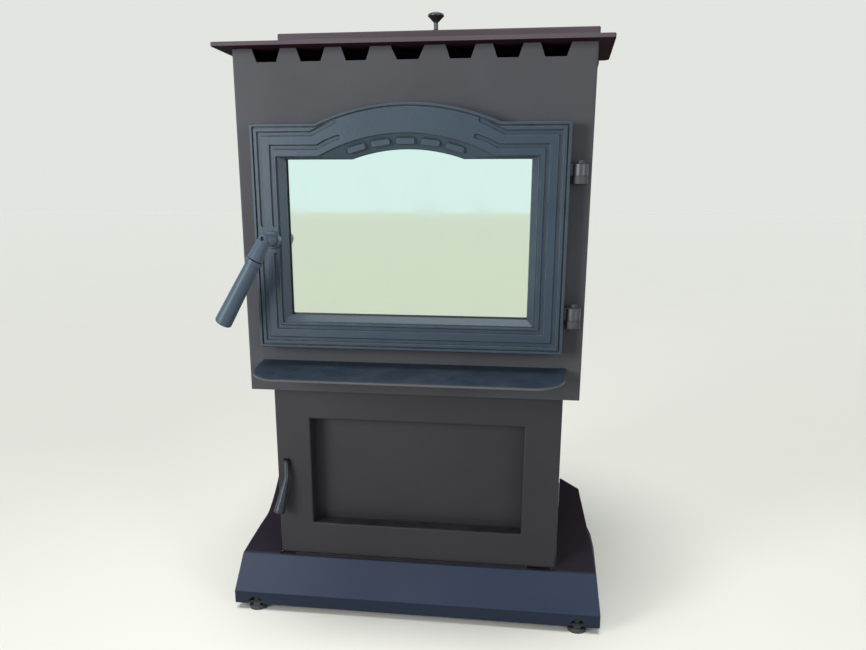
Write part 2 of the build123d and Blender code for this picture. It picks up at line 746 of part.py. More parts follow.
# Side clips and bottom clips that hold the glass: centre x, centre z, length across x, length along z
clip_places = (
    (-195, 545, 26, 20), (191, 545, 26, 20), (-195, 735, 26, 20), (191, 735, 26, 20),
    (-110, 505, 20, 24), (110, 505, 20, 24),
)

with BuildPart() as glass_clips:
    for x, z, across, along in clip_places:
        block(x - across / 2, x + across / 2, -8, -6, z - along / 2, z + along / 2)
        screw_x = x + math.copysign(5, x) if across > along else x
        screw_z = z if across > along else z - 3
        rod(clip_screw_radius, (screw_x, -9, screw_z), (screw_x, -5, screw_z), Mode.SUBTRACT)
save(glass_clips, "glass_clips")

with BuildPart() as glass_clip_screws:
    for x, z, across, along in clip_places:
        screw_x = x + math.copysign(5, x) if across > along else x
        screw_z = z if across > along else z - 3
        rod(clip_screw_radius, (screw_x, -8, screw_z), (screw_x, -6, screw_z))
        rod(4.5, (screw_x, -6, screw_z), (screw_x, -3.5, screw_z))
save(glass_clip_screws, "glass_clip_screws")

with BuildPart() as door_rope_gasket:
    with BuildSketch(front(0.5)):
        with Locations((0, (rope_bottom + rope_top) / 2)):
            RectangleRounded(2 * rope_half, rope_top - rope_bottom, 14)
            RectangleRounded(
                2 * (rope_half - rope_width), rope_top - rope_bottom - 2 * rope_width, 5, mode=Mode.SUBTRACT
            )
    extrude(amount=11.5)
save(door_rope_gasket, "door_rope_gasket")

with BuildPart() as hinge_lugs:
    for lug_bottom, split, top in hinge_levels:
        rod(knuckle_radius, (hinge_x, hinge_y, lug_bottom), (hinge_x, hinge_y, split))
        block(hinge_x - 9, hinge_x + 9, hinge_y, 0, lug_bottom, split)
        rod(pin_radius, (hinge_x, hinge_y, lug_bottom - 1), (hinge_x, hinge_y, split + 1), Mode.SUBTRACT)
save(hinge_lugs, "hinge_lugs")

head_radius = 5.2
head_height = 5.2

with BuildPart() as door_hinge_pins:
    for lug_bottom, split, top in hinge_levels:
        rod(pin_radius, (hinge_x, hinge_y, lug_bottom), (hinge_x, hinge_y, top + 0.4))
        rod(head_radius, (hinge_x, hinge_y, top + 0.4), (hinge_x, hinge_y, top + 0.4 + head_height))
    for crown in door_hinge_pins.faces().filter_by(Plane.XY).filter_by(lambda face: face.normal_at().Z > 0.9):
        if abs(crown.area - math.pi * head_radius**2) < 0.5:
            fillet(crown.edges(), 2)
# Handle: shaft through the door, bent arm, turned grip and the latch cam behind
elbow = (latch_x, -68.0, latch_z)
grip_start = (-219.0, -72.0, 598.0)
grip_end = (-271.7, -72.0, 509.5)
arm_end = tuple(start + 0.0585 * (start - end) for start, end in zip(grip_start, grip_end))
cam_front = 6.4
cam_back = 12.4

with BuildPart() as handle_arm:
    rod(5, (latch_x, cam_back, latch_z), (latch_x, -30.3, latch_z))
    rod(13.5, (latch_x, -30.3, latch_z), (latch_x, -38, latch_z), end_radius=12)
    rod(9.2, (latch_x, -38, latch_z), elbow)
    with Locations(elbow):
        Sphere(9.2)
    rod(9.2, elbow, arm_end, end_radius=11.8)
    rod(12.6, arm_end, grip_start)
    # Socket of the set screw
    rod(3, (latch_x, -90, latch_z + 3.4), (latch_x, -72, latch_z + 3.4), Mode.SUBTRACT)
save(handle_arm, "handle_arm")

with BuildPart() as handle_grip:
    rod(10.6, grip_start, grip_end, end_radius=13.0)
    fillet(handle_grip.edges().filter_by(GeomType.CIRCLE).sort_by(Axis.Z)[0], 4)
save(handle_grip, "handle_grip")

with BuildPart() as latch_cam:
    with BuildSketch(front(-cam_front)):
        with Locations((latch_x, latch_z + 9.5)):
            RectangleRounded(11, 30, 3)
        with Locations((latch_x, latch_z)):
            Circle(5, mode=Mode.SUBTRACT)
    extrude(amount=-(cam_back - cam_front))
save(latch_cam, "latch_cam")

# ---------------------------------------------------------------- ash shelf

shelf_half = 237.0
shelf_depth = 89.0
shelf_tilt = math.atan(0.15)
shelf_plane = Plane(origin=(0, 0, 445), x_dir=(1, 0, 0), z_dir=(0, -math.sin(shelf_tilt), math.cos(shelf_tilt)))

with BuildPart() as ash_shelf:
    with BuildSketch(shelf_plane):
        with Locations((0, -shelf_depth / 2 + 2)):
            Rectangle(2 * shelf_half, shelf_depth + 4)
    extrude(amount=-4)
    fillet(ash_shelf.edges().filter_by(lambda edge: abs(edge.length - 4) < 0.01).group_by(Axis.Y)[0], 46)
    block(-250, 250, 0, 12, 430, 460, Mode.SUBTRACT)
    rim_edges = ash_shelf.faces().filter_by(lambda face: face.normal_at().Z > 0.9)[0].edges()
    fillet([edge for edge in rim_edges if edge.center().Y < -1], 1.5)
save(ash_shelf, "ash_shelf")

# ---------------------------------------------------------------- ash door

recess_half = 177.0
recess_bottom = 157.0
recess_top = 340.0
face_back = ash_door_front + 4
flange_inner = ash_door_half - 3
hinge_block = 222.0


def ash_hinge_bores():
    for low, high in ((90, 116), (372, 400)):
        rod(3.05, (ash_hinge_x, ash_hinge_y, low), (ash_hinge_x, ash_hinge_y, high), Mode.SUBTRACT)


def ash_latch_bore(start, end):
    rod(4.05, (ash_latch_x, start, ash_latch_z), (ash_latch_x, end, ash_latch_z), Mode.SUBTRACT)


# Hollow door: a face with the recess cut in it, flanges round its rim and walls round the recess
with BuildPart() as ash_door_face:
    block(-ash_door_half, ash_door_half, ash_door_front, face_back, ash_door_bottom, ash_door_top)
    fillet(ash_door_face.faces().sort_by(Axis.Y)[0].edges(), 2)
    block(-recess_half, recess_half, 30, 60, recess_bottom, recess_top, Mode.SUBTRACT)
    front_edges = ash_door_face.faces().sort_by(Axis.Y)[0].edges()
    level_edges = [edge for edge in front_edges if recess_bottom - 1 < edge.center().Z < recess_top + 1]
    fillet([edge for edge in level_edges if abs(edge.center().X) < recess_half + 1], 3)
    ash_latch_bore(30, 60)
    block(
        ash_latch_x - 5.5, ash_latch_x + 5.5, ash_door_front - 1, face_back,
        ash_latch_z - 5.5, ash_latch_z + 5.5, Mode.SUBTRACT,
    )
    ash_hinge_bores()

with BuildPart() as ash_hinge_flange:
    block(flange_inner, ash_door_half, face_back, ash_door_back, ash_door_bottom, ash_door_top)
    block(hinge_block, ash_door_half, face_back, ash_door_back, ash_door_bottom, 118)
    block(hinge_block, ash_door_half, face_back, ash_door_back, 370, ash_door_top)
    ash_hinge_bores()

with BuildPart() as ash_latch_boss:
    rod(9, (ash_latch_x, face_back, ash_latch_z), (ash_latch_x, ash_door_back, ash_latch_z))
    ash_latch_bore(30, 80)

recess_outer = recess_half + 3
save_welded(
    [
        ash_door_face.part.solid(),
        ash_hinge_flange.part.solid(),
        ash_latch_boss.part.solid(),
        plate(-ash_door_half, -flange_inner, face_back, ash_door_back, ash_door_bottom, ash_door_top),
        plate(-flange_inner, hinge_block, face_back, ash_door_back, ash_door_bottom, ash_door_bottom + 3),
        plate(-flange_inner, hinge_block, face_back, ash_door_back, ash_door_top - 3, ash_door_top),
        plate(-recess_outer, -recess_half, face_back, ash_door_back, recess_bottom - 3, recess_top + 3),
        plate(recess_half, recess_outer, face_back, ash_door_back, recess_bottom - 3, recess_top + 3),
        plate(-recess_half, recess_half, face_back, ash_door_back, recess_bottom - 3, recess_bottom),
        plate(-recess_half, recess_half, face_back, ash_door_back, recess_top, recess_top + 3),
    ],
    "ash_door_frame",
)

gasket_back = pedestal_front - 0.4

# Sheet across the whole back, seen through the recess
with BuildPart() as ash_door_panel:
    block(-pedestal_half, pedestal_half, ash_door_back, ash_door_back + 2.5, 102, 387)
    ash_latch_bore(60, 80)
save(ash_door_panel, "ash_door_panel")

with BuildPart() as ash_door_gasket:
    block(-pedestal_half, pedestal_half, ash_door_back + 2.5, gasket_back, 102, 387)
    block(-pedestal_half + 7.5, pedestal_half - 7.5, 60, 80, 109.5, 379.5, Mode.SUBTRACT)
save(ash_door_gasket, "ash_door_gasket")

ash_rod_bend = (-217.2, 28.0, 238.3)
ash_grip_end = (-231.4, 20.0, 177.5)

with BuildPart() as ash_latch_lever:
    rod(4, (ash_latch_x, 84.5, ash_latch_z), (ash_latch_x, 33, ash_latch_z))
    with Locations((ash_latch_x, 33, ash_latch_z)):
        Sphere(4)
    rod(4, (ash_latch_x, 33, ash_latch_z), ash_rod_bend, end_radius=4.2)
    with Locations(ash_rod_bend):
        Sphere(4.2)
    rod(4.2, ash_rod_bend, ash_grip_end, end_radius=9.5)
    fillet(ash_latch_lever.edges().filter_by(GeomType.CIRCLE).sort_by(Axis.Z)[0], 3)
save(ash_latch_lever, "ash_latch_lever")

with BuildPart() as ash_latch_cam:
    with BuildSketch(front(-79.5)):
        with Locations((ash_latch_x, ash_latch_z + 6)):
            RectangleRounded(8.6, 24, 2.5)
        with Locations((ash_latch_x, ash_latch_z)):
            Circle(4, mode=Mode.SUBTRACT)
    extrude(amount=-5)
save(ash_latch_cam, "ash_latch_cam")

# All the hinge pins: two for each door and two for the lid
with BuildPart() as ash_hinge_pins:
    rod(3, (ash_hinge_x, ash_hinge_y, 92), (ash_hinge_x, ash_hinge_y, 113))
    rod(3, (ash_hinge_x, ash_hinge_y, 374), (ash_hinge_x, ash_hinge_y, body_bottom + sheet))

with BuildPart() as lid_hinge_pins:
    for x in lid_hinge_x:
        rod(2, (x - 21, lid_pin_y, lid_pin_z), (x + 21, lid_pin_y, lid_pin_z))

save_welded(
    door_hinge_pins.part.solids() + ash_hinge_pins.part.solids() + lid_hinge_pins.part.solids(),
    "hinge_pins",
)

# ---------------------------------------------------------------- pedestal

base_top = 16.0
ash_mouth_half = 224.5
ash_mouth_bottom = 112.0
ash_mouth_top = 380.0
sill_front = 33.0
shelf_z = 106.0

with BuildPart() as pedestal_front_frame:
    block(-pedestal_half, pedestal_half, pedestal_front, pedestal_front + sheet, base_top, body_bottom)
    block(
        -ash_mouth_half, ash_mouth_half, pedestal_front - 1, pedestal_front + sheet + 1,
        ash_mouth_bottom, ash_mouth_top, Mode.SUBTRACT,
    )
    # Sill under the ash door, raised between its two ends
    block(-236, 236, sill_front, pedestal_front, 92, 95)
    block(-212, 190, ash_door_front + 1, ash_door_back, 95, 98.9)
    rod(3, (ash_hinge_x, ash_hinge_y, 91), (ash_hinge_x, ash_hinge_y, 96), Mode.SUBTRACT)
save(pedestal_front_frame, "pedestal_front_frame")

wall_front = pedestal_front + sheet
wall_rear = pedestal_rear - sheet
save_welded(
    [
        plate(-pedestal_half, -pedestal_half + sheet, wall_front, wall_rear, base_top, body_bottom),
        plate(pedestal_half - sheet, pedestal_half, wall_front, wall_rear, base_top, body_bottom),
        plate(-pedestal_half, pedestal_half, wall_rear, pedestal_rear, base_top, body_bottom),
    ],
    "pedestal_walls",
)

with BuildPart() as pan_shelf:
    block(
        -pedestal_half + sheet, pedestal_half - sheet, pedestal_front + sheet, 450,
        shelf_z - sheet, shelf_z,
    )
save(pan_shelf, "pan_shelf")

pan_half = 199.0
pan_front = 108.0
pan_rear = 438.0
pan_top = 206.0

with BuildPart() as ash_pan:
    block(-pan_half, pan_half, pan_front, pan_rear, shelf_z, pan_top)
    block(-pan_half + 2, pan_half - 2, pan_front + 2, pan_rear - 2, shelf_z + 2, pan_top + 1, Mode.SUBTRACT)
    # Bail handle on the front wall
    with BuildLine(Plane.XY.offset(170)) as bail_path:
        FilletPolyline(
            (-50, pan_front + 1), (-50, pan_front - 18), (50, pan_front - 18), (50, pan_front + 1), radius=6
        )
    with BuildSketch(Plane(origin=bail_path.line @ 0, z_dir=bail_path.line % 0)):
        Circle(4)
    sweep(path=bail_path.line)
save(ash_pan, "ash_pan")

# ---------------------------------------------------------------- base

foot_places = ((-foot_x, foot_front_y), (foot_x, foot_front_y), (-foot_x, foot_rear_y), (foot_x, foot_rear_y))
stem_radius = 5.0

with BuildPart() as base_sheet:
    block(-292, 292, 8, 570, lip_bottom, base_top)
    for x, y in foot_places:
        rod(stem_radius + 0.05, (x, y, 0), (x, y, 40), Mode.SUBTRACT)

# Threaded bosses for the levelling feet
with BuildPart() as foot_bosses:
    for x, y in foot_places:
        rod(9, (x, y, base_top), (x, y, 34))
        rod(stem_radius + 0.05, (x, y, 0), (x, y, 40), Mode.SUBTRACT)
save_welded([base_sheet.part.solid()] + foot_bosses.part.solids(), "base_plate")

skin = 3.0
# Side view of the formed front: lip, ramp, then a cove that sweeps up the column
ramp = ((5.0, 34.0), (30.0, 96.0))
cove = ((30.0, 96.0), (62.0, 107.0), (100.0, 119.0), (127.0, 134.0), (140.0, 158.0), (146.0, 222.0))
cove_under = ((32.0, 93.0), (63.0, 104.0), (101.5, 116.0), (129.5, 132.0), (143.0, 157.0), (149.0, 222.0))
# Front view: how the skirt narrows as it rises
flare = ((base_half, 34.0), (303.5, 96.0), (297.0, 120.0), (290.0, 134.0), (276.0, 186.0), (271.5, 204.0))


def skirt_side(curve, ramp_back, front_y, lip_top, low, rear):
    with BuildLine() as outline:
        Line((rear, low), (front_y, low))
        Line((front_y, low), (front_y, lip_top))
        Line((front_y, lip_top), ramp_back)
        Spline(*curve, tangents=((1, 0.3), (0.1, 1)))
        Line(curve[-1], (rear, curve[-1][1]))
        Line((rear, curve[-1][1]), (rear, low))
    make_face(outline.edges())


def skirt_face(inset, low, top):
    points = [(x - inset, z) for x, z in flare]
    right = [(base_half - inset, low)] + points + [(240.5, top)]
    left = [(-x, z) for x, z in reversed(right)]
    with BuildLine() as outline:
        Polyline(*right, *left, close=True)
    make_face(outline.edges())


with BuildPart() as skirt_hollow:
    with BuildSketch(Plane.YZ):
        skirt_side(cove_under, cove_under[0], ramp[0][0] + skin, ramp[0][1] - 0.7, 0, 160)
    extrude(amount=330, both=True)
    with BuildSketch(front(0)):
        skirt_face(skin, 0, 219)
    extrude(amount=-200, mode=Mode.INTERSECT)

with BuildPart() as base_shroud:
    with BuildSketch(Plane.YZ):
        skirt_side(cove, ramp[1], ramp[0][0], ramp[0][1], lip_bottom, 149)
    extrude(amount=330, both=True)
    with BuildSketch(front(0)):
        skirt_face(0, lip_bottom, 221.5)
    extrude(amount=-149, mode=Mode.INTERSECT)
    add(skirt_hollow.part, mode=Mode.SUBTRACT)
    block(-238, 238, sill_front, 160, 88, 230, Mode.SUBTRACT)
    # Openings in the lip to reach the levelling feet
    for side in (-1, 1):
        rod(13, (side * foot_x, 0, lip_bottom), (side * foot_x, 9, lip_bottom), Mode.SUBTRACT)
save(base_shroud, "base_shroud")


def levelling_foot(x, y):
    """Round pad, hexagon to turn it by, and the threaded stem."""
    rod(15, (x, y, 0), (x, y, 5), end_radius=16)
    rod(16, (x, y, 5), (x, y, 7), end_radius=12)
    with BuildSketch(Plane.XY.offset(7)) as hexagon:
        with Locations((x, y)):
            RegularPolygon(11, 6)
    extrude(hexagon.sketch, amount=4.6)
    rod(stem_radius, (x, y, 11), (x, y, 38))


with BuildPart() as front_left_foot:
    levelling_foot(*foot_places[0])
save(front_left_foot, "front_left_foot")

with BuildPart() as front_right_foot:
    levelling_foot(*foot_places[1])
save(front_right_foot, "front_right_foot")

with BuildPart() as rear_left_foot:
    levelling_foot(*foot_places[2])
save(rear_left_foot, "rear_left_foot")

with BuildPart() as rear_right_foot:
    levelling_foot(*foot_places[3])
save(rear_right_foot, "rear_right_foot")
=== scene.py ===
import math
import json

import bpy
import bmesh
from mathutils import Matrix, Vector


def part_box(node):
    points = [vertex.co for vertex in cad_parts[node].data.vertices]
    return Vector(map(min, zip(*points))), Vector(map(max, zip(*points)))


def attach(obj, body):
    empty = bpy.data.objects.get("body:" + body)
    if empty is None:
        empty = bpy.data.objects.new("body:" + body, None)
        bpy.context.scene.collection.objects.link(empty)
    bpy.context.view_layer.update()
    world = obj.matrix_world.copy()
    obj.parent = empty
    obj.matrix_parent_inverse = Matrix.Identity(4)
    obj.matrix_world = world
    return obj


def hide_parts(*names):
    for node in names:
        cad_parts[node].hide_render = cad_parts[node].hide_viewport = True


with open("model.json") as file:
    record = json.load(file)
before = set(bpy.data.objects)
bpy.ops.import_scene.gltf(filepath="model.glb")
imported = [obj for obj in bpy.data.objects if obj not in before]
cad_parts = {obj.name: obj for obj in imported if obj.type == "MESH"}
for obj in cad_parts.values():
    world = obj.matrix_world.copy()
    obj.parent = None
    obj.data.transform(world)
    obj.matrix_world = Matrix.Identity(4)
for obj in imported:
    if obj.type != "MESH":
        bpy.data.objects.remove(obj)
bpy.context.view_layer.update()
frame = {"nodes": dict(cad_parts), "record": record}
nodes = frame["nodes"]
scene = bpy.context.scene
print("stove loaded:", len(nodes), "nodes")

bodyMiddle = 276.1  # from the front face back to the middle of the stove, in millimetres


def at(x, y, z):
    # a place in millimetres, measured from the middle of the front face, as scene metres
    return Vector((x, y - bodyMiddle, z)) / 1000


# where the photograph was taken from: metres, angles in degrees, lens and sensor in millimetres
camera = {
    "place": (0.21955, -1.54112, 0.68335),
    "turn": -8.286,
    "tilt": 16.525,
    "roll": 0.241,
    "lens": 34.877,
    "shift": 0.14665,
    "sensor": 36,
    "farthest": 200,
}


def addCamera(recipe):
    turn, tilt, roll = (math.radians(recipe[key]) for key in ("turn", "tilt", "roll"))
    ahead = Vector((math.sin(turn) * math.cos(tilt), math.cos(turn) * math.cos(tilt), -math.sin(tilt)))
    level = Vector((math.cos(turn), -math.sin(turn), 0))
    upright = level.cross(ahead)
    right = math.cos(roll) * level + math.sin(roll) * upright
    up = -math.sin(roll) * level + math.cos(roll) * upright
    data = bpy.data.cameras.new("camera")
    data.sensor_width = recipe["sensor"]
    data.lens = recipe["lens"]
    data.shift_y = recipe["shift"]
    data.clip_end = recipe["farthest"]
    eye = bpy.data.objects.new("camera", data)
    eye.matrix_world = Matrix((
        (right.x, up.x, -ahead.x, recipe["place"][0]),
        (right.y, up.y, -ahead.y, recipe["place"][1]),
        (right.z, up.z, -ahead.z, recipe["place"][2]),
        (0, 0, 0, 1),
    ))
    scene.collection.objects.link(eye)
    scene.camera = eye


addCamera(camera)
print("camera set")


class Flow:
    # one output of a shader node; arithmetic on it adds Math nodes
    def __init__(self, finish, socket):
        self.finish = finish
        self.socket = socket

    def maths(self, operation, *others):
        return self.finish.node("ShaderNodeMath", {"operation": operation}, dict(enumerate((self,) + others)))

    def __add__(self, other):
        return self.maths("ADD", other)

    def __sub__(self, other):
        return self.maths("SUBTRACT", other)

    def __mul__(self, other):
        return self.maths("MULTIPLY", other)

    def __pow__(self, other):
        return self.maths("POWER", other)

    def __rsub__(self, other):
        return self.finish.node("ShaderNodeMath", {"operation": "SUBTRACT"}, {0: other, 1: self})

    __radd__ = __add__
    __rmul__ = __mul__

    def least(self, other):
        return self.maths("MINIMUM", other)

    def most(self, other):
        return self.maths("MAXIMUM", other)

    def spread(self, low, high):
        # 0 at low, 1 at high
        return self.finish.node(
            "ShaderNodeMapRange", {"clamp": True}, {"Value": self, "From Min": low, "From Max": high},
        )


class Finish:
    # a material and the nodes in it
    def __init__(self, name):
        self.material = bpy.data.materials.new(name)
        self.material.use_nodes = True
        self.tree = self.material.node_tree
        self.tree.nodes.clear()

    def node(self, kind, settings=None, sockets=None, out=0):
        made = self.tree.nodes.new(kind)
        for key, value in (settings or {}).items():
            setattr(made, key, value)
        for key, value in (sockets or {}).items():
            if isinstance(value, Flow):
                self.tree.links.new(value.socket, made.inputs[key])
            else:
                made.inputs[key].default_value = value
        return Flow(self, made.outputs[out])

    def place(self, scale=(1, 1, 1), middle=(0, 0, 0)):
        raw = self.node("ShaderNodeTexCoord", out="Object")
        return self.node(
            "ShaderNodeMapping", {"vector_type": "POINT"},
            {"Vector": raw, "Scale": scale, "Location": middle},
        )

    def axis(self, letter, source=None):
        source = source or self.node("ShaderNodeTexCoord", out="Object")
        return self.node("ShaderNodeSeparateXYZ", sockets={0: source}, out=letter)

    def upward(self):
        return self.axis("Z", self.node("ShaderNodeTexCoord", out="Normal"))

    def noise(self, scale, detail=3.0, rough=0.55, where=None, twist=0.0):
        return self.node(
            "ShaderNodeTexNoise", {"noise_dimensions": "3D"},
            {"Vector": where or self.place(), "Scale": scale, "Detail": detail,
             "Roughness": rough, "Distortion": twist},
        )

    def cells(self, scale, feature="F1", out="Distance"):
        return self.node(
            "ShaderNodeTexVoronoi", {"feature": feature}, {"Vector": self.place(), "Scale": scale}, out,
        )

    def mix(self, share, first, second):
        return self.node(
            "ShaderNodeMix", {"data_type": "RGBA", "blend_type": "MIX", "clamp_factor": True},
            {0: share, 6: first, 7: second}, 2,
        )

    def rounded(self, radius):
        return self.node("ShaderNodeBevel", {"samples": 4}, {"Radius": radius})

    def arris(self, radius):
        # 1 on sharp edges, 0 on flats
        true = self.node("ShaderNodeNewGeometry", out="Normal")
        soft = self.rounded(radius)
        same = self.node("ShaderNodeVectorMath", {"operation": "DOT_PRODUCT"}, {0: soft, 1: true}, "Value")
        return (1 - same).spread(0.02, 0.22)

    def cavityShade(self, reach):
        # 1 deep in narrow grooves and corners, 0 in the open: the mask for painted shade in grooves
        clear = self.node(
            "ShaderNodeAmbientOcclusion", {"samples": 8, "only_local": True}, {"Distance": reach}, "AO",
        )
        return (1 - clear).spread(0.12, 0.62)

    def bump(self, height, strength, distance, normal=None):
        sockets = {"Height": height, "Strength": strength, "Distance": distance}
        if normal:
            sockets["Normal"] = normal
        return self.node("ShaderNodeBump", sockets=sockets)

    def shade(self, sockets):
        surface = self.node("ShaderNodeBsdfPrincipled", sockets=sockets)
        output = self.tree.nodes.new("ShaderNodeOutputMaterial")
        self.tree.links.new(surface.socket, output.inputs["Surface"])
        return self.material


def colour(red, green, blue):
    return (red, green, blue, 1)


# painted sheet and castings; a paint states only where it differs from these
plainPaint = {
    "cloudScale": 7, "grainScale": 900, "pitScale": 220, "tintShare": 0.5,
    "fleck": 0.12, "fleckColour": (0.13, 0.135, 0.145),
    "dust": 0.10, "dustColour": (0.34, 0.33, 0.31),
    "arris": 0.0016, "wear": 0.25, "wornColour": (0.15, 0.155, 0.165),
    "relief": 0.25, "depth": 0.0004, "round": 0.0010,
    # above this height the base's wings get painted shade
    "coveStart": (0.0955, 0.0985),  # height where the base's ramp turns into its wings, in metres
    "earStart": (0.2303, 0.2306),  # side edge of the fire door, past which are its hinge ears
    "grooveShare": 0.8, "mattAdded": 0.5,
}
paints = {
    "bodyPaint": {
        "base": (0.052, 0.053, 0.059), "deep": (0.042, 0.042, 0.048), "tint": (0.058, 0.056, 0.058),
        "roughness": 0.44, "dust": 0.05, "specular": 0.07,
    },
    "topPaint": {
        "base": (0.070, 0.055, 0.064), "deep": (0.057, 0.044, 0.052), "tint": (0.067, 0.056, 0.065),
        # painted shade: the plate's underside is darker
        "under": (0.018, 0.006, 0.012), "roughness": 0.42, "dust": 0.035, "specular": 0.05,
    },
    "pedestalPaint": {
        "base": (0.012, 0.010, 0.013), "deep": (0.009, 0.0075, 0.010), "tint": (0.013, 0.0105, 0.0125),
        "roughness": 0.50, "specular": 0.34,
    },
    "shelfPaint": {
        "base": (0.016, 0.026, 0.041), "deep": (0.013, 0.022, 0.034), "tint": (0.020, 0.029, 0.039),
        # painted highlight: the shelf's upright front edge is lighter
        "uprightShading": (0.078, 0.077, 0.082), "roughness": 0.38, "dust": 0.04, "specular": 0.09,
    },
    "basePaint": {
        "base": (0.023, 0.033, 0.060), "deep": (0.018, 0.026, 0.050), "tint": (0.025, 0.032, 0.051),
        # painted shade: the base's wings above the ramp and its upright lip are darker
        "cove": (0.015, 0.011, 0.017), "uprightShading": (0.012, 0.018, 0.033),
        "roughness": 0.42, "dust": 0.04, "specular": 0.15,
    },
    "doorIron": {
        "base": (0.018, 0.033, 0.049), "deep": (0.014, 0.026, 0.039), "tint": (0.019, 0.032, 0.044),
        # painted shade: the door's grooves are darker
        "ear": (0.032, 0.034, 0.040), "groove": (0.007, 0.009, 0.012), "grooveReach": 0.007,
        "roughness": 0.40, "specular": 0.30, "wear": 0.30, "relief": 0.40, "depth": 0.0007, "round": 0.0014,
        "cloudScale": 11, "grainScale": 520, "pitScale": 130,
    },
    "handlePaint": {
        "base": (0.049, 0.070, 0.096), "deep": (0.039, 0.056, 0.079), "tint": (0.055, 0.070, 0.088),
        "roughness": 0.36, "grainScale": 700, "wear": 0.40, "specular": 0.13,
    },
    "pinPaint": {
        "base": (0.040, 0.044, 0.052), "deep": (0.031, 0.034, 0.041), "tint": (0.044, 0.045, 0.050),
        "roughness": 0.42, "wear": 0.40, "specular": 0.10,
    },
    "latchPaint": {
        "base": (0.012, 0.018, 0.028), "deep": (0.008, 0.013, 0.021), "tint": (0.015, 0.019, 0.026),
        "roughness": 0.34, "grainScale": 700, "wear": 0.55, "specular": 0.35,
    },
}


def stovePaint(name, own):
    # satin heat-proof paint: fine sprayed grain, soft mottling, rubbed arrises and a little dust on top
    # faces; painted shade under things, in grooves and on the base's lip and wings, and a painted highlight
    # on the shelf's front edge
    recipe = {**plainPaint, **own}
    finish = Finish(name)
    cloud = finish.noise(recipe["cloudScale"], 4, 0.6)
    smear = finish.noise(3.2, 3, 0.5, finish.place((1, 1, 0.28), middle=(0.3, 0.1, 0.7)))
    grain = finish.noise(recipe["grainScale"], 2, 0.6)
    pits = finish.noise(recipe["pitScale"], 3, 0.7)
    tone = finish.mix(cloud.spread(0.32, 0.68), colour(*recipe["deep"]), colour(*recipe["base"]))
    tone = finish.mix(smear.spread(0.35, 0.72) * recipe["tintShare"], tone, colour(*recipe["tint"]))
    tone = finish.mix(grain.spread(0.60, 0.78) * recipe["fleck"], tone, colour(*recipe["fleckColour"]))
    dust = finish.upward().spread(0.55, 1.0) * finish.noise(38, 5, 0.7).spread(0.38, 0.75)
    tone = finish.mix(dust * recipe["dust"], tone, colour(*recipe["dustColour"]))
    # painted shade: faces turned downward take a darker colour
    shadeBelow = finish.upward().spread(-0.5, -0.9)
    tone = finish.mix(shadeBelow, tone, colour(*recipe.get("under", recipe["deep"])))
    # light painted on upright faces: painted shade on the base's lip, a painted highlight on the shelf's
    # front edge
    if "uprightShading" in recipe:  # upright faces, such as a lip or a rim
        tone = finish.mix(finish.upward().spread(0.30, 0.12) * (1 - shadeBelow), tone, colour(*recipe["uprightShading"]))
    matt = shadeBelow
    # painted shade: the base's wings above the ramp are darker, and rougher
    if "cove" in recipe:
        cove = finish.axis("Z").spread(*recipe["coveStart"])
        tone = finish.mix(cove, tone, colour(*recipe["cove"]))
        matt = matt + cove
    if "ear" in recipe:
        tone = finish.mix(finish.axis("X").spread(*recipe["earStart"]), tone, colour(*recipe["ear"]))
    # painted shade: darker deep in narrow grooves and corners
    if "groove" in recipe:
        groove = finish.cavityShade(recipe["grooveReach"]) * recipe["grooveShare"]
        tone = finish.mix(groove, tone, colour(*recipe["groove"]))
    worn = finish.arris(recipe["arris"]) * finish.noise(60, 3, 0.6).spread(0.40, 0.66)
    tone = finish.mix(worn * recipe["wear"], tone, colour(*recipe["wornColour"]))
    gloss = recipe["roughness"] + (cloud - 0.5) * 0.12 + dust * 0.14 + (grain - 0.5) * 0.06
    gloss = gloss + matt * recipe["mattAdded"]
    height = grain * 0.35 + pits * 0.65
    relief = finish.bump(height, recipe["relief"], recipe["depth"], finish.rounded(recipe["round"]))
    return finish.shade({
        "Base Color": tone, "Roughness": gloss, "Normal": relief, "Specular IOR Level": recipe["specular"],
    })


paintOf = {name: stovePaint(name, recipe) for name, recipe in paints.items()}
print("paints mixed:", len(paintOf))

# bare iron of the firebox: grey scale, a little rust tint and soot
ironRecipe = {
    "pale": (0.098, 0.091, 0.085), "deep": (0.062, 0.058, 0.055),
    "rust": (0.12, 0.078, 0.054), "rustShare": 0.40, "soot": (0.024, 0.023, 0.022), "sootShare": 0.70,
    "roughness": 0.62, "metal": 0.45, "grit": 0.0008,
}


def bareIron(recipe):
    finish = Finish("bareIron")
    cloud = finish.noise(9, 5, 0.62)
    heat = finish.noise(4, 3, 0.5, twist=0.6)
    soot = finish.noise(26, 5, 0.7)
    sand = finish.noise(240, 4, 0.7)
    tone = finish.mix(cloud.spread(0.35, 0.65), colour(*recipe["deep"]), colour(*recipe["pale"]))
    tone = finish.mix(heat.spread(0.52, 0.75) * recipe["rustShare"], tone, colour(*recipe["rust"]))
    tone = finish.mix(soot.spread(0.38, 0.70) * recipe["sootShare"], tone, colour(*recipe["soot"]))
    relief = finish.bump(sand, 0.55, recipe["grit"], finish.rounded(0.0010))
    return finish.shade({
        "Base Color": tone, "Roughness": recipe["roughness"] + (soot - 0.5) * 0.3, "Normal": relief,
        "Metallic": cloud.spread(0.45, 0.70) * recipe["metal"],
    })


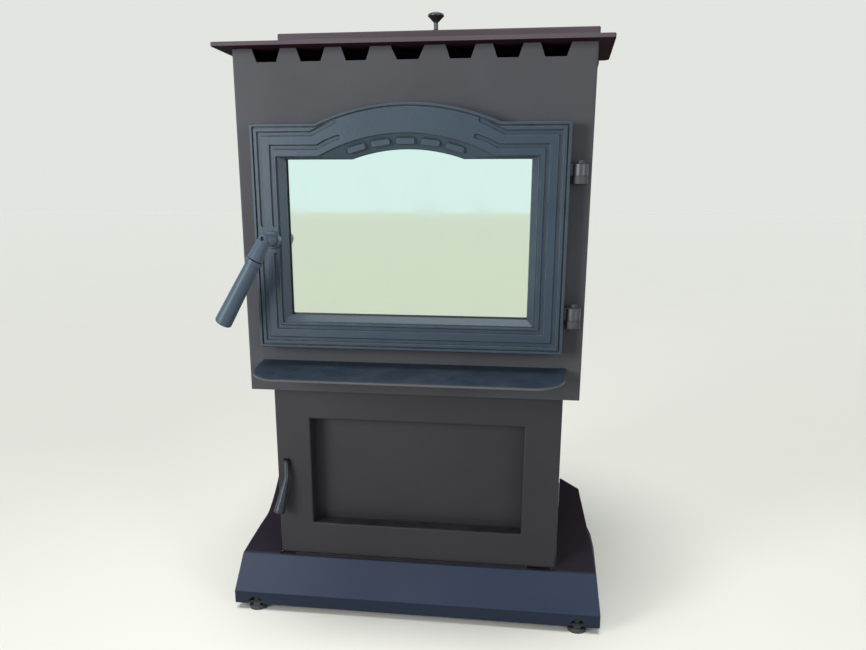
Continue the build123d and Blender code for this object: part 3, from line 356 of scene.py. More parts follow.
# zinc, stainless and pressed aluminium; stretch is the direction of rolling or brushing
metals = {
    "zincSteel": {
        "base": (0.62, 0.61, 0.58), "deep": (0.50, 0.49, 0.47), "tint": (0.60, 0.56, 0.44),
        "roughness": 0.30, "stretch": (1, 1, 0.05), "spots": 0.35,
    },
    "stainless": {
        "base": (0.60, 0.59, 0.57), "deep": (0.48, 0.47, 0.45), "tint": (0.52, 0.48, 0.42),
        "roughness": 0.28, "stretch": (1, 0.05, 1), "spots": 0.15,
    },
    "pressedAluminium": {
        "base": (0.74, 0.75, 0.76), "deep": (0.62, 0.63, 0.65), "tint": (0.66, 0.66, 0.66),
        "roughness": 0.34, "stretch": (0.08, 1, 1), "spots": 0.10,
    },
}


def platedSteel(name, recipe):
    finish = Finish(name)
    streak = finish.noise(420, 4, 0.6, finish.place(recipe["stretch"]))
    cloud = finish.noise(14, 4, 0.55)
    spots = finish.noise(75, 4, 0.7)
    tone = finish.mix(streak.spread(0.3, 0.7), colour(*recipe["deep"]), colour(*recipe["base"]))
    tone = finish.mix(cloud.spread(0.48, 0.72) * 0.35, tone, colour(*recipe["tint"]))
    tone = finish.mix(spots.spread(0.62, 0.74) * recipe["spots"], tone, colour(0.20, 0.18, 0.15))
    gloss = recipe["roughness"] + (streak - 0.5) * 0.16 + (cloud - 0.5) * 0.10
    relief = finish.bump(streak, 0.10, 0.0002, finish.rounded(0.0005))
    return finish.shade({"Base Color": tone, "Roughness": gloss, "Metallic": 1.0, "Normal": relief})


# hot-dip galvanised sheet: crystal flakes of different tone
spangle = {
    "flakes": 95, "deep": (0.46, 0.475, 0.49), "pale": (0.58, 0.60, 0.61), "dull": (0.48, 0.47, 0.45),
    "roughness": 0.34, "metal": 0.95,
}


def spangledSheet(recipe):
    finish = Finish("spangledSheet")
    flake = finish.axis("X", finish.cells(recipe["flakes"], out="Color"))
    borders = finish.cells(recipe["flakes"], "DISTANCE_TO_EDGE").spread(0.0, 0.06)
    cloud = finish.noise(8, 4, 0.6)
    tone = finish.mix(flake, colour(*recipe["deep"]), colour(*recipe["pale"]))
    tone = finish.mix(cloud.spread(0.5, 0.75) * 0.4, tone, colour(*recipe["dull"]))
    gloss = recipe["roughness"] + flake * 0.20 + (cloud - 0.5) * 0.12
    relief = finish.bump(borders + flake * 0.3, 0.06, 0.0002, finish.rounded(0.0005))
    return finish.shade({
        "Base Color": tone, "Roughness": gloss, "Metallic": recipe["metal"], "Normal": relief,
    })


metalOf = {name: platedSteel(name, recipe) for name, recipe in metals.items()}
metalOf["bareIron"] = bareIron(ironRecipe)
metalOf["spangledSheet"] = spangledSheet(spangle)
print("metals made:", len(metalOf))

# the door glass: places in millimetres from the middle of the front face, at the level of the floor
glassRecipe = {
    "base": (0.80, 0.90, 0.76), "haze": (0.74, 0.82, 0.70), "print": (0.004, 0.004, 0.005),
    "roughness": 0.035, "printRoughness": 0.45,
    "clear": (-178.9, 176.5, 521.6, 744.5),  # left, right, bottom, and where the arch starts
    "arch": (-1.9, 504.0, 254.5),  # middle, height of its centre, radius
}


def mirrorGlass(recipe):
    # ceramic glass with a reflective coat: nearly a mirror, a little rippled, printed black at its edge
    finish = Finish("mirrorGlass")
    x = finish.axis("X")
    z = finish.axis("Z")
    left, right, bottom, shoulder = (value / 1000 for value in recipe["clear"])
    middle, centre, radius = (value / 1000 for value in recipe["arch"])
    across = (x - middle) * (x - middle)
    rise = (z - centre) * (z - centre)
    inArch = radius - (across + rise) ** 0.5
    inside = (x - left).least(right - x).least(z - bottom).least((shoulder - z).most(inArch))
    clear = inside.spread(0.0, 0.0007)
    ripple = finish.noise(5.5, 2, 0.5)
    smudge = finish.noise(17, 5, 0.65, finish.place((1, 1, 0.5)), 0.4)
    haze = smudge.spread(0.50, 0.80)
    tone = finish.mix(haze * 0.35, colour(*recipe["base"]), colour(*recipe["haze"]))
    tone = finish.mix(clear, colour(*recipe["print"]), tone)
    matt = recipe["printRoughness"]
    return finish.shade({
        "Base Color": tone, "Metallic": clear, "Normal": finish.bump(ripple, 0.05, 0.0006),
        "Roughness": matt + clear * (recipe["roughness"] - matt + haze * 0.05),
    })


# knobs and grips, motor cases, and the white of the dial marks
plastics = {
    "phenolic": {
        "base": (0.017, 0.012, 0.016), "deep": (0.010, 0.007, 0.010), "roughness": 0.34, "grit": 1100,
    },
    "motorBlack": {
        "base": (0.045, 0.045, 0.048), "deep": (0.028, 0.028, 0.031), "roughness": 0.44, "grit": 700,
    },
    "printWhite": {
        "base": (0.62, 0.62, 0.60), "deep": (0.50, 0.50, 0.49), "roughness": 0.55, "grit": 1100,
    },
}


def moulded(name, recipe):
    finish = Finish(name)
    cloud = finish.noise(30, 3, 0.6)
    grit = finish.noise(recipe["grit"], 2, 0.6)
    scuff = finish.arris(0.0012) * finish.noise(90, 4, 0.6).spread(0.42, 0.62)
    tone = finish.mix(cloud.spread(0.3, 0.7), colour(*recipe["deep"]), colour(*recipe["base"]))
    tone = finish.mix(scuff * 0.35, tone, colour(0.16, 0.15, 0.15))
    relief = finish.bump(grit, 0.18, 0.0002, finish.rounded(0.0006))
    return finish.shade({
        "Base Color": tone, "Normal": relief,
        "Roughness": recipe["roughness"] + (cloud - 0.5) * 0.14 + scuff * 0.15,
    })


# a levelling foot, from the floor up: rubber pad, nut, threaded stem
footRecipe = {
    "padTop": (0.0066, 0.0070), "nutTop": (0.0116, 0.0120), "threads": 105.0,
    "steelDeep": (0.055, 0.060, 0.070), "steel": (0.095, 0.100, 0.110),
    "rubberDeep": (0.020, 0.020, 0.022), "rubber": (0.040, 0.040, 0.042),
}


def threadedFoot(recipe):
    finish = Finish("threadedFoot")
    height = finish.axis("Z")
    metal = height.spread(*recipe["padTop"])
    thread = finish.node(
        "ShaderNodeTexWave", {"wave_type": "BANDS", "bands_direction": "Z", "wave_profile": "TRI"},
        {"Vector": finish.place(), "Scale": recipe["threads"], "Distortion": 0.0},
    )
    onStem = height.spread(*recipe["nutTop"])
    cloud = finish.noise(60, 4, 0.6)
    share = cloud.spread(0.35, 0.65)
    steel = finish.mix(share, colour(*recipe["steelDeep"]), colour(*recipe["steel"]))
    rubber = finish.mix(share, colour(*recipe["rubberDeep"]), colour(*recipe["rubber"]))
    relief = finish.bump(thread * onStem + cloud * 0.1, 0.6, 0.0006, finish.rounded(0.0006))
    return finish.shade({
        "Base Color": finish.mix(metal, rubber, steel), "Metallic": metal * 0.95,
        "Roughness": 0.68 - metal * 0.34 + (cloud - 0.5) * 0.15, "Normal": relief,
    })


yarns = {
    "ropeYarn": {"base": (0.36, 0.35, 0.33), "deep": (0.17, 0.165, 0.155), "fibres": 700},
    "tapeYarn": {"base": (0.74, 0.72, 0.67), "deep": (0.52, 0.50, 0.46), "fibres": 900},
}


def glassFibre(name, recipe):
    # spun glass-fibre yarn, a little singed
    finish = Finish(name)
    fibre = finish.noise(recipe["fibres"], 4, 0.75)
    char = finish.noise(22, 4, 0.6)
    tone = finish.mix(fibre.spread(0.32, 0.70), colour(*recipe["deep"]), colour(*recipe["base"]))
    tone = finish.mix(char.spread(0.50, 0.72) * 0.45, tone, colour(0.11, 0.10, 0.09))
    relief = finish.bump(fibre, 0.7, 0.0004)
    return finish.shade({"Base Color": tone, "Roughness": 0.86 + (fibre - 0.5) * 0.15, "Normal": relief})


otherOf = {"mirrorGlass": mirrorGlass(glassRecipe), "threadedFoot": threadedFoot(footRecipe)}
otherOf.update({name: moulded(name, recipe) for name, recipe in plastics.items()})
otherOf.update({name: glassFibre(name, recipe) for name, recipe in yarns.items()})
finishes = {**paintOf, **metalOf, **otherOf}
print("finishes made:", len(finishes))

finishOfSlot = {
    "body_paint": "bodyPaint", "top_paint": "topPaint", "pedestal_paint": "pedestalPaint",
    "door_iron": "doorIron", "bare_iron": "bareIron", "mirror_glass": "mirrorGlass",
    "rope": "ropeYarn", "white_seal": "tapeYarn", "zinc_steel": "zincSteel", "stainless": "stainless",
    "galvanised": "spangledSheet", "aluminium_wheel": "pressedAluminium", "motor_black": "motorBlack",
    "handle_steel": "handlePaint", "knob_plastic": "phenolic", "foot_rubber": "threadedFoot",
}
finishOfNode = {
    "ash_shelf": "shelfPaint", "base_shroud": "basePaint", "ash_latch_lever": "latchPaint",
    "hinge_pins": "pinPaint",
}
slotOfNode = {part["node"]: part["material_slot"] for part in frame["record"]["subparts"]}

for name, node in nodes.items():
    chosen = finishOfNode.get(name) or finishOfSlot[slotOfNode[name]]
    node.data.materials.clear()
    node.data.materials.append(finishes[chosen])
print("nodes painted:", len(nodes))


def addPiece(name, mesh, body, finish):
    piece = bpy.data.objects.new(name, mesh)
    scene.collection.objects.link(piece)
    mesh.materials.clear()
    mesh.materials.append(finishes[finish])
    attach(piece, body)
    return piece


def settle(work, name):
    # turns a worked object into a plain mesh and removes the object
    bpy.context.view_layer.update()
    seen = work.evaluated_get(bpy.context.evaluated_depsgraph_get())
    mesh = bpy.data.meshes.new_from_object(seen)
    mesh.name = name
    bpy.data.objects.remove(work)
    return mesh


def bridge(shape, first, second):
    # a band of faces between two rings of points
    for step in range(len(first)):
        follow = (step + 1) % len(first)
        shape.faces.new((first[step], first[follow], second[follow], second[step]))


def closeShape(shape, name):
    bmesh.ops.recalc_face_normals(shape, faces=shape.faces)
    mesh = bpy.data.meshes.new(name)
    shape.to_mesh(mesh)
    shape.free()
    return mesh


class Growth:
    # a Geometry Nodes tree with named inputs
    def __init__(self, name, inputs):
        self.tree = bpy.data.node_groups.new(name, "GeometryNodeTree")
        face = self.tree.interface
        face.new_socket("Geometry", in_out="INPUT", socket_type="NodeSocketGeometry")
        face.new_socket("Geometry", in_out="OUTPUT", socket_type="NodeSocketGeometry")
        for label, (kind, value) in inputs.items():
            socket = face.new_socket(label, in_out="INPUT", socket_type="NodeSocket" + kind)
            if value is not None:
                socket.default_value = value
        self.entry = self.tree.nodes.new("NodeGroupInput")
        self.exit = self.tree.nodes.new("NodeGroupOutput")

    def given(self, label):
        return self.entry.outputs[label]

    def node(self, kind, settings=None, sockets=None, out=0):
        made = self.tree.nodes.new(kind)
        for key, value in (settings or {}).items():
            setattr(made, key, value)
        for key, value in (sockets or {}).items():
            if isinstance(value, bpy.types.NodeSocket):
                self.tree.links.new(value, made.inputs[key])
            else:
                made.inputs[key].default_value = value
        return made.outputs[out]

    def maths(self, operation, *values):
        return self.node("ShaderNodeMath", {"operation": operation}, dict(enumerate(values)))

    def times(self, label, share):
        return self.maths("MULTIPLY", self.given(label), share)

    def vector(self, operation, *values, scale=None):
        sockets = dict(enumerate(values))
        if scale is not None:
            sockets["Scale"] = scale
        return self.node("ShaderNodeVectorMath", {"operation": operation}, sockets)

    def lift(self, part, height):
        upward = self.node("ShaderNodeCombineXYZ", sockets={2: height})
        return self.node("GeometryNodeTransform", sockets={"Geometry": part, "Translation": upward})

    def tube(self, line, sides, radius):
        ring = self.node("GeometryNodeCurvePrimitiveCircle", sockets={"Resolution": sides, "Radius": radius})
        return self.node(
            "GeometryNodeCurveToMesh", sockets={"Curve": line, "Profile Curve": ring, "Fill Caps": True},
        )

    def join(self, parts):
        joined = self.tree.nodes.new("GeometryNodeJoinGeometry")
        for part in parts:
            self.tree.links.new(part, joined.inputs[0])
        return joined.outputs[0]

    def finish(self, geometry, material):
        solid = self.node("GeometryNodeRealizeInstances", sockets={"Geometry": geometry})
        painted = self.node("GeometryNodeSetMaterial", sockets={"Geometry": solid, "Material": material})
        self.tree.links.new(painted, self.exit.inputs[0])

    def grow(self, name, mesh, values):
        work = bpy.data.objects.new(name + "Work", mesh)
        scene.collection.objects.link(work)
        modifier = work.modifiers.new("growth", "NODES")
        modifier.node_group = self.tree
        for item in self.tree.interface.items_tree:
            if item.in_out == "INPUT" and item.name in values:
                modifier[item.identifier] = values[item.name]
        return settle(work, name)


# a hexagon head on a round flange: metres, and shares of the head's height or of a radius
screw = {
    "head": 0.0044, "height": 0.0030, "flange": 0.0058, "sides": 6, "flangeSides": 20,
    "flangeShare": 0.3, "flangeTop": 0.86, "barrelShare": 0.85, "crownShare": 0.15, "crownTop": 0.80,
    "finish": "zincSteel", "slot": "zinc_steel", "seed": 7,
}


def screwGrowth():
    growth = Growth("hexScrews", {
        "Head Radius": ("Float", screw["head"]), "Head Height": ("Float", screw["height"]),
        "Flange Radius": ("Float", screw["flange"]), "Finish": ("Material", None),
        "Seed": ("Int", screw["seed"]),
    })
    flange = growth.node("GeometryNodeMeshCone", {"fill_type": "NGON"}, {
        "Vertices": screw["flangeSides"], "Radius Top": growth.times("Flange Radius", screw["flangeTop"]),
        "Radius Bottom": growth.given("Flange Radius"),
        "Depth": growth.times("Head Height", screw["flangeShare"]),
    })
    barrel = growth.node("GeometryNodeMeshCylinder", {"fill_type": "NGON"}, {
        "Vertices": screw["sides"], "Radius": growth.given("Head Radius"),
        "Depth": growth.times("Head Height", screw["barrelShare"]),
    })
    crown = growth.node("GeometryNodeMeshCone", {"fill_type": "NGON"}, {
        "Vertices": screw["sides"], "Radius Top": growth.times("Head Radius", screw["crownTop"]),
        "Radius Bottom": growth.given("Head Radius"),
        "Depth": growth.times("Head Height", screw["crownShare"]),
    })
    head = growth.join((
        flange, growth.lift(barrel, growth.times("Head Height", screw["barrelShare"] / 2)),
        growth.lift(crown, growth.times("Head Height", screw["barrelShare"])),
    ))
    facing = growth.node("GeometryNodeInputNamedAttribute", {"data_type": "FLOAT_VECTOR"}, {"Name": "facing"})
    tilt = growth.node("FunctionNodeAlignRotationToVector", {"axis": "Z"}, {"Vector": facing})
    spin = growth.node(
        "FunctionNodeRandomValue", {"data_type": "FLOAT"}, {2: 0.0, 3: 6.28, "Seed": growth.given("Seed")}, 1,
    )
    twist = growth.node("FunctionNodeAxisAngleToRotation", sockets={"Axis": (0, 0, 1), "Angle": spin})
    turned = growth.node("FunctionNodeRotateRotation", {"rotation_space": "LOCAL"}, {0: tilt, 1: twist})
    heads = growth.node("GeometryNodeInstanceOnPoints", sockets={
        "Points": growth.given("Geometry"), "Instance": head, "Rotation": turned,
    })
    growth.finish(heads, growth.given("Finish"))
    return growth


screws = screwGrowth()


def addScrews(name, places, facing, body, size=1.0):
    mesh = bpy.data.meshes.new(name)
    mesh.from_pydata([at(*place) for place in places], [], [])
    directions = mesh.attributes.new("facing", "FLOAT_VECTOR", "POINT")
    for value in directions.data:
        value.vector = facing
    grown = screws.grow(name, mesh, {
        "Head Radius": screw["head"] * size, "Head Height": screw["height"] * size,
        "Flange Radius": screw["flange"] * size, "Finish": finishes[screw["finish"]],
    })
    addPiece(name, grown, body, screw["finish"])


def lineOf(count, low, high):
    return [low + (high - low) * step / (count - 1) for step in range(count)]


# where the screws sit: millimetres, as at() takes them; size is a share of the screw above
rearScrews = {
    "y": 560, "side": 249, "rows": (402, 886), "perRow": 7, "perColumn": 6,
    "grille": (-190, 475), "grilleReach": (54, 62),
}
sideScrews = {
    "Panel": {"x": 260, "rows": (404, 884), "span": (130, 534), "perRow": 5},
    "Pedestal": {"x": 233, "rows": (126, 374), "span": (160, 516), "perRow": 4},
}
flangeScrews = {
    "y": 562, "size": 0.55, "perPipe": 3,
    "pipes": ((108, 443, 42.8, 30), (-75, 440, 33.8, 90)),  # middle, radius and first angle of each ring
}
inletScrews = {"middle": -225, "reach": 18.3, "y": 563, "z": 618, "size": 0.36}
hingeScrews = {"middles": (-150, 150), "reach": 14, "y": 550, "heights": (916, 931), "size": 0.6}


def placeRearScrews(recipe):
    y, side, rows = recipe["y"], recipe["side"], recipe["rows"]
    middle, level = recipe["grille"]
    reach, rise = recipe["grilleReach"]
    places = [(x, y, z) for z in rows for x in lineOf(recipe["perRow"], -side, side)]
    places += [(x, y, z) for x in (-side, side) for z in lineOf(recipe["perColumn"], *rows)[1:-1]]
    places += [(middle + x, y, level + z) for x in (-reach, reach) for z in (-rise, rise)]
    addScrews("rearPanelScrews", places, (0, 1, 0), "stove")


def placeSideScrews(recipes):
    for word, side in (("left", -1), ("right", 1)):
        for part, recipe in recipes.items():
            span = lineOf(recipe["perRow"], *recipe["span"])
            places = [(side * recipe["x"], y, z) for z in recipe["rows"] for y in span]
            addScrews(word + part + "Screws", places, (side, 0, 0), "stove")


def placeFlangeScrews(recipe):
    places = []
    for x, z, radius, first in recipe["pipes"]:
        for step in range(recipe["perPipe"]):
            turn = math.radians(first + step * 360 / recipe["perPipe"])
            places.append((x + radius * math.cos(turn), recipe["y"], z + radius * math.sin(turn)))
    addScrews("pipeFlangeScrews", places, (0, 1, 0), "stove", recipe["size"])


def placeInletScrews(recipe):
    places = [(recipe["middle"] + side * recipe["reach"], recipe["y"], recipe["z"]) for side in (-1, 1)]
    addScrews("inletScrews", places, (0, 1, 0), "stove", recipe["size"])


def placeHingeScrews(recipe):
    places = [
        (middle + side * recipe["reach"], recipe["y"], z)
        for middle in recipe["middles"] for side in (-1, 1) for z in recipe["heights"]
    ]
    addScrews("lidHingeScrews", places, (0, 1, 0), "hopper_lid", recipe["size"])


placeRearScrews(rearScrews)
placeSideScrews(sideScrews)
placeFlangeScrews(flangeScrews)
placeInletScrews(inletScrews)
placeHingeScrews(hingeScrews)
print("screws placed")

# how a rope is braided: metres, and shares of its radius
braid = {
    "strands": 6, "pitch": 0.030, "stepsPerTurn": 11, "yarn": 0.22, "yarnGap": 1.12, "weave": 0.06,
    "crossings": 3, "yarnSides": 5, "coreSides": 10, "cornerSteps": 8,
}
# closed loops, in millimetres; width lies across the joint and thickness, along "squeezed", between its faces
gaskets = {
    "doorRope": {
        "replaces": "door_rope_gasket", "body": "fire_door", "squeezed": "y", "level": -6.25,
        "half": 215.5, "span": (482, 779.5), "corner": 10, "width": 9.8, "thickness": 11.3,
    },
    "ashDoorRope": {
        "replaces": "ash_door_gasket", "body": "ash_door", "squeezed": "y", "level": 73.55,
        "half": 229.3, "span": (105.8, 383.3), "corner": 3, "width": 7.2, "thickness": 4.0,
    },
    "lidRope": {
        "replaces": "lid_gasket", "body": "stove", "squeezed": "z", "level": 948.75,
        "half": 230.5, "span": (257.5, 531.5), "corner": 4, "width": 6.8, "thickness": 9.4,
    },
}


def braidGrowth():
    # crossing helices of yarn over a soft core, round a closed path
    growth = Growth("braidedRope", {
        "Turns": ("Int", 48), "Steps": ("Int", 500), "Strands": ("Int", braid["strands"]),
        "Reach": ("Float", 0.004), "Yarn Radius": ("Float", 0.001), "Finish": ("Material", None),
    })
    path = growth.node("GeometryNodeMeshToCurve", sockets={"Mesh": growth.given("Geometry")})
    path = growth.node("GeometryNodeResampleCurve", sockets={"Curve": path, "Count": growth.given("Steps")})
    bundles = []
    for hand in (1, -1):
        copies = growth.node(
            "GeometryNodeDuplicateElements", {"domain": "SPLINE"},
            {"Geometry": path, "Amount": growth.given("Strands")},
        )
        start = growth.maths("DIVIDE", copies.node.outputs["Duplicate Index"], growth.given("Strands"))
        along = growth.node("GeometryNodeSplineParameter", out="Factor")
        wound = growth.maths("MULTIPLY", along, growth.times("Turns", float(hand)))
        angle = growth.maths("MULTIPLY", growth.maths("ADD", wound, start), 2 * math.pi)
        # over and under: each yarn rises and dips as it goes round
        swing = growth.maths("SINE", growth.maths("MULTIPLY", angle, float(hand * braid["crossings"])))
        weave = growth.maths("ADD", 1.0, growth.maths("MULTIPLY", swing, braid["weave"] * hand))
        reach = growth.maths("MULTIPLY", growth.given("Reach"), weave)
        normal = growth.node("GeometryNodeInputNormal")
        side = growth.vector("CROSS_PRODUCT", growth.node("GeometryNodeInputTangent"), normal)
        outward = growth.vector(
            "ADD", growth.vector("SCALE", normal, scale=growth.maths("COSINE", angle)),
            growth.vector("SCALE", side, scale=growth.maths("SINE", angle)),
        )
        moved = growth.node("GeometryNodeSetPosition", sockets={
            "Geometry": copies, "Offset": growth.vector("SCALE", outward, scale=reach),
        })
        bundles.append(growth.tube(moved, braid["yarnSides"], growth.given("Yarn Radius")))
    bundles.append(growth.tube(path, braid["coreSides"], growth.given("Reach")))
    growth.finish(growth.join(bundles), growth.given("Finish"))
    return growth


braids = braidGrowth()


def ropePath(recipe):
    # a rectangle with rounded corners, upright round a door or level round the hopper's rim
    half, corner, level = recipe["half"], recipe["corner"], recipe["level"]
    low, high = recipe["span"]
    steps = braid["cornerSteps"]
    upright = recipe["squeezed"] == "y"
    places = []
    for x, z, first in ((half - corner, high - corner, 0), (-half + corner, high - corner, 90),
                        (-half + corner, low + corner, 180), (half - corner, low + corner, 270)):
        for step in range(steps + 1):
            turn = math.radians(first + 90 * step / steps)
            across, along = x + corner * math.cos(turn), z + corner * math.sin(turn)
            places.append(at(across, level, along) if upright else at(across, along, level))
    return places


def addGasket(name, recipe):
    places = ropePath(recipe)
    length = sum((second - first).length for first, second in zip(places, places[1:] + places[:1]))
    mesh = bpy.data.meshes.new(name)
    mesh.from_pydata(places, [(step, (step + 1) % len(places)) for step in range(len(places))], [])
    turns = round(length / braid["pitch"])
    radius = recipe["width"] / 2000
    yarn = radius * braid["yarn"]
    grown = braids.grow(name, mesh, {
        "Turns": turns, "Steps": turns * braid["stepsPerTurn"], "Strands": braid["strands"],
        "Reach": radius - yarn * braid["yarnGap"], "Yarn Radius": yarn, "Finish": finishes["ropeYarn"],
    })
    flat = "xyz".index(recipe["squeezed"])
    low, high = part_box(recipe["replaces"])
    level = (low[flat] + high[flat]) / 2
    span = [vertex.co[flat] for vertex in grown.vertices]
    squeeze = recipe["thickness"] / 1000 / (max(span) - min(span))
    middle = (max(span) + min(span)) / 2
    for vertex in grown.vertices:
        vertex.co[flat] = level + (vertex.co[flat] - middle) * squeeze
    for polygon in grown.polygons:
        polygon.use_smooth = True
    piece = addPiece(name, grown, recipe["body"], "ropeYarn")
    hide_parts(recipe["replaces"])


for name, recipe in gaskets.items():
    addGasket(name, recipe)
print("gaskets braided")

# woven tape round the glass, in millimetres: half width, bottom and top of its outer and inner edge
tape = {
    "middle": -1.9, "outer": (186, 511, 768), "inner": (181, 517, 762), "edgeGap": 0.3,
    "front": -15.0, "back": -13.0, "faceGap": 0.05,
    "ribs": 150, "rib": (0.97, 1.0), "valley": (1.0, 0.86),  # shares of the tape's width and thickness
    "section": (
        (0.0, 0.5), (0.2, 0.08), (0.5, 0.0), (0.8, 0.08), (1.0, 0.5), (0.8, 0.92), (0.5, 1.0), (0.2, 0.92),
    ),
}


def tapeCorners(edge, growth):
    half, low, high = edge
    return [
        Vector((tape["middle"] + side * (half + growth), 0, high + growth if top else low - growth))
        for side, top in ((-1, False), (1, False), (1, True), (-1, True))
    ]


def addGlassTape():
    outer = tapeCorners(tape["outer"], -tape["edgeGap"])
    inner = tapeCorners(tape["inner"], tape["edgeGap"])
    front, back = tape["front"] + tape["faceGap"], tape["back"] - tape["faceGap"]
    shape = bmesh.new()
    rings = []
    for side in range(4):
        follow = (side + 1) % 4
        steps = tape["ribs"] // 2
        for step in range(steps):
            outside = outer[side].lerp(outer[follow], step / steps)
            inside = inner[side].lerp(inner[follow], step / steps)
            wide, thick = tape["rib"] if step % 2 else tape["valley"]
            ring = []
            for across, deep in tape["section"]:
                place = outside.lerp(inside, 0.5 + (across - 0.5) * wide)
                y = front + (back - front) * (0.5 + (deep - 0.5) * thick)
                ring.append(shape.verts.new(at(place.x, y, place.z)))
            rings.append(ring)
    for first, second in zip(rings, rings[1:] + rings[:1]):
        bridge(shape, first, second)
    piece = addPiece("glassTape", closeShape(shape, "glassTape"), "fire_door", "tapeYarn")
    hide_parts("glass_gasket")


addGlassTape()
print("tape laid round the glass")

# ticks round the two dials on the left side, in millimetres and degrees
dials = {
    "y": 470, "heights": (760, 700), "plate": -262, "proud": 0.12, "sunk": 0.05,
    "ticks": 11, "sweep": 135, "inner": 19.8, "outer": 23.0, "halfWidth": 0.50,
    "longEvery": 5, "longOuter": 24.4, "longHalfWidth": 0.75,
}


def addDialMarks():
    shape = bmesh.new()
    inner, sweep = dials["inner"], dials["sweep"]
    for height in dials["heights"]:
        for step in range(dials["ticks"]):
            turn = math.radians(-sweep + 2 * sweep * step / (dials["ticks"] - 1))
            long = step % dials["longEvery"] == 0
            outer = dials["longOuter"] if long else dials["outer"]
            width = dials["longHalfWidth"] if long else dials["halfWidth"]
            away = Vector((0, math.sin(turn), math.cos(turn)))
            across = Vector((0, math.cos(turn), -math.sin(turn)))
            front, back = [], []
            for ring, x in ((front, dials["plate"] - dials["proud"]), (back, dials["plate"] + dials["sunk"])):
                for reach, side in ((inner, -1), (outer, -1), (outer, 1), (inner, 1)):
                    spot = away * reach + across * side * width
                    ring.append(shape.verts.new(at(x, dials["y"] + spot.y, height + spot.z)))
            shape.faces.new(front)
            shape.faces.new(list(reversed(back)))
            bridge(shape, back, front)
    addPiece("dialMarks", closeShape(shape, "dialMarks"), "stove", "printWhite")


addDialMarks()
print("dials marked")

# dark beads in the slot between the base and the pedestal's sides, which close it so no floor shows through,
# in millimetres: runs are depths with the slot's two sides there, and a line is its two ends (depth, height)
# and how far the bead rises from it
beads = {
    "runs": ((34.0, 236.1, 237.9), (75.9, 236.1, 237.9), (78.0, 233.1, 237.9), (148.5, 233.1, 237.9)),
    "lines": (((34.0, 94.2), (148.5, 94.2), 3.6), ((145.5, 98.5), (145.5, 214.0), 2.6)),
    "ripple": 1.4, "valley": 0.90, "corners": 10,
}


def beadSides(y):
    # inner and outer side of the slot at a depth
    for (firstY, firstIn, firstOut), (lastY, lastIn, lastOut) in zip(beads["runs"], beads["runs"][1:]):
        if y <= lastY:
            share = (y - firstY) / (lastY - firstY)
            return firstIn + (lastIn - firstIn) * share, firstOut + (lastOut - firstOut) * share
    return beads["runs"][-1][1:]


def beadRings(shape, side, line):
    (firstY, firstZ), (lastY, lastZ), rise = line
    length = math.dist((firstY, firstZ), (lastY, lastZ))
    overY, overZ = (firstZ - lastZ) / length, (lastY - firstY) / length
    steps = round(length / (beads["ripple"] / 2))
    rings = []
    for step in range(steps + 1):
        share = step / steps
        y, z = firstY + (lastY - firstY) * share, firstZ + (lastZ - firstZ) * share
        inner, outer = beadSides(y)
        swell = 1.0 if step % 2 else beads["valley"]
        ring = []
        for corner in range(beads["corners"]):
            turn = 2 * math.pi * corner / beads["corners"]
            x = (inner + outer) / 2 + (outer - inner) / 2 * swell * math.cos(turn)
            lift = rise * swell * math.sin(turn)
            ring.append(shape.verts.new(at(side * x, y + overY * lift, z + overZ * lift)))
        rings.append(ring)
    return rings


def addBeads():
    shape = bmesh.new()
    for side in (-1, 1):
        for line in beads["lines"]:
            rings = beadRings(shape, side, line)
            for near, far in zip(rings, rings[1:]):
                bridge(shape, near, far)
            shape.faces.new(rings[0])
            shape.faces.new(list(reversed(rings[-1])))
    addPiece("baseBeads", closeShape(shape, "baseBeads"), "stove", "pedestalPaint")


addBeads()
print("beads laid")

studio = {
    "floorReach": 60.0, "floor": (0.80, 0.79, 0.73), "floorCloud": (0.76, 0.75, 0.71), "floorRoughness": 0.72,
    "sky": (0.84, 0.97, 1.08), "skyFill": 0.11, "backdrop": (0.766, 0.787, 0.741),
}
lights = {
    "key": {
        "kind": "AREA", "place": (-1.60, -2.05, 0.98), "aim": (0, -0.28, 0.97), "size": 1.1,
        "spread": 75, "power": 15.5, "tone": (0.97, 0.98, 1.0),
    },
    "side": {
        "kind": "AREA", "place": (1.75, -1.90, 0.98), "aim": (0, -0.28, 0.97), "size": 0.9,
        "spread": 75, "power": 5.6, "tone": (0.97, 0.98, 1.0),
    },
    "front": {
        "kind": "AREA", "place": (0.25, -2.30, 1.65), "aim": (0, -0.28, 0.95), "size": 0.9,
        "spread": 75, "power": 0.5, "tone": (0.97, 0.98, 1.0),
    },
    "over": {
        "kind": "SUN", "place": (-0.10, -0.55, 3.0), "aim": (0, 0, 0), "angle": 0.6,
        "power": 2.6, "tone": (0.995, 0.995, 0.965),
    },
}


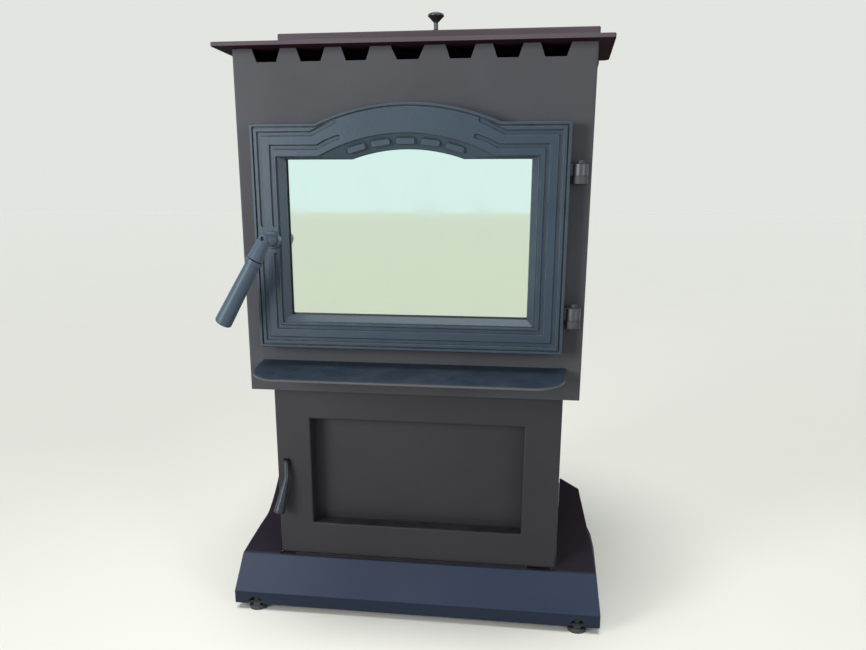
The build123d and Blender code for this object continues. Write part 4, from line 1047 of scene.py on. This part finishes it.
def addFloor(recipe):
    reach = recipe["floorReach"]
    corners = [(-reach, -reach, 0), (reach, -reach, 0), (reach, reach, 0), (-reach, reach, 0)]
    mesh = bpy.data.meshes.new("floor")
    mesh.from_pydata(corners, [], [(0, 1, 2, 3)])
    floor = bpy.data.objects.new("floor", mesh)
    scene.collection.objects.link(floor)
    finish = Finish("paleFloor")
    cloud = finish.noise(2.2, 4, 0.55)
    share = cloud.spread(0.3, 0.7) * 0.25
    tone = finish.mix(share, colour(*recipe["floor"]), colour(*recipe["floorCloud"]))
    gloss = recipe["floorRoughness"] + (cloud - 0.5) * 0.08
    mesh.materials.append(finish.shade({"Base Color": tone, "Roughness": gloss}))


def addLight(name, recipe):
    data = bpy.data.lights.new(name, recipe["kind"])
    if recipe["kind"] == "SUN":
        data.angle = recipe["angle"]
    else:
        data.size = recipe["size"]
        data.spread = math.radians(recipe["spread"])
    data.energy = recipe["power"]
    data.color = recipe["tone"]
    lamp = bpy.data.objects.new(name, data)
    place, aim = Vector(recipe["place"]), Vector(recipe["aim"])
    lamp.location = place
    lamp.rotation_euler = (aim - place).to_track_quat("-Z", "Y").to_euler()
    scene.collection.objects.link(lamp)


def addSky(recipe):
    # the studio is pale behind the stove, and lights it far less than it shows
    world = bpy.data.worlds.new("studioLight")
    world.use_nodes = True
    wires = world.node_tree
    sky = wires.nodes["Background"]
    sky.inputs["Color"].default_value = colour(*recipe["sky"])
    backdrop = wires.nodes.new("ShaderNodeBackground")
    backdrop.inputs["Color"].default_value = colour(*recipe["backdrop"])
    ray = wires.nodes.new("ShaderNodeLightPath")
    dim = wires.nodes.new("ShaderNodeMapRange")
    wires.links.new(ray.outputs["Is Diffuse Ray"], dim.inputs["Value"])
    dim.inputs["To Min"].default_value = 1.0
    dim.inputs["To Max"].default_value = recipe["skyFill"]
    wires.links.new(dim.outputs["Result"], sky.inputs["Strength"])
    choose = wires.nodes.new("ShaderNodeMixShader")
    wires.links.new(ray.outputs["Is Camera Ray"], choose.inputs["Fac"])
    wires.links.new(sky.outputs[0], choose.inputs[1])
    wires.links.new(backdrop.outputs[0], choose.inputs[2])
    wires.links.new(choose.outputs[0], wires.nodes["World Output"].inputs["Surface"])
    scene.world = world


addFloor(studio)
for name, recipe in lights.items():
    addLight(name, recipe)
addSky(studio)
scene.view_settings.view_transform = "Standard"
print("studio lit")
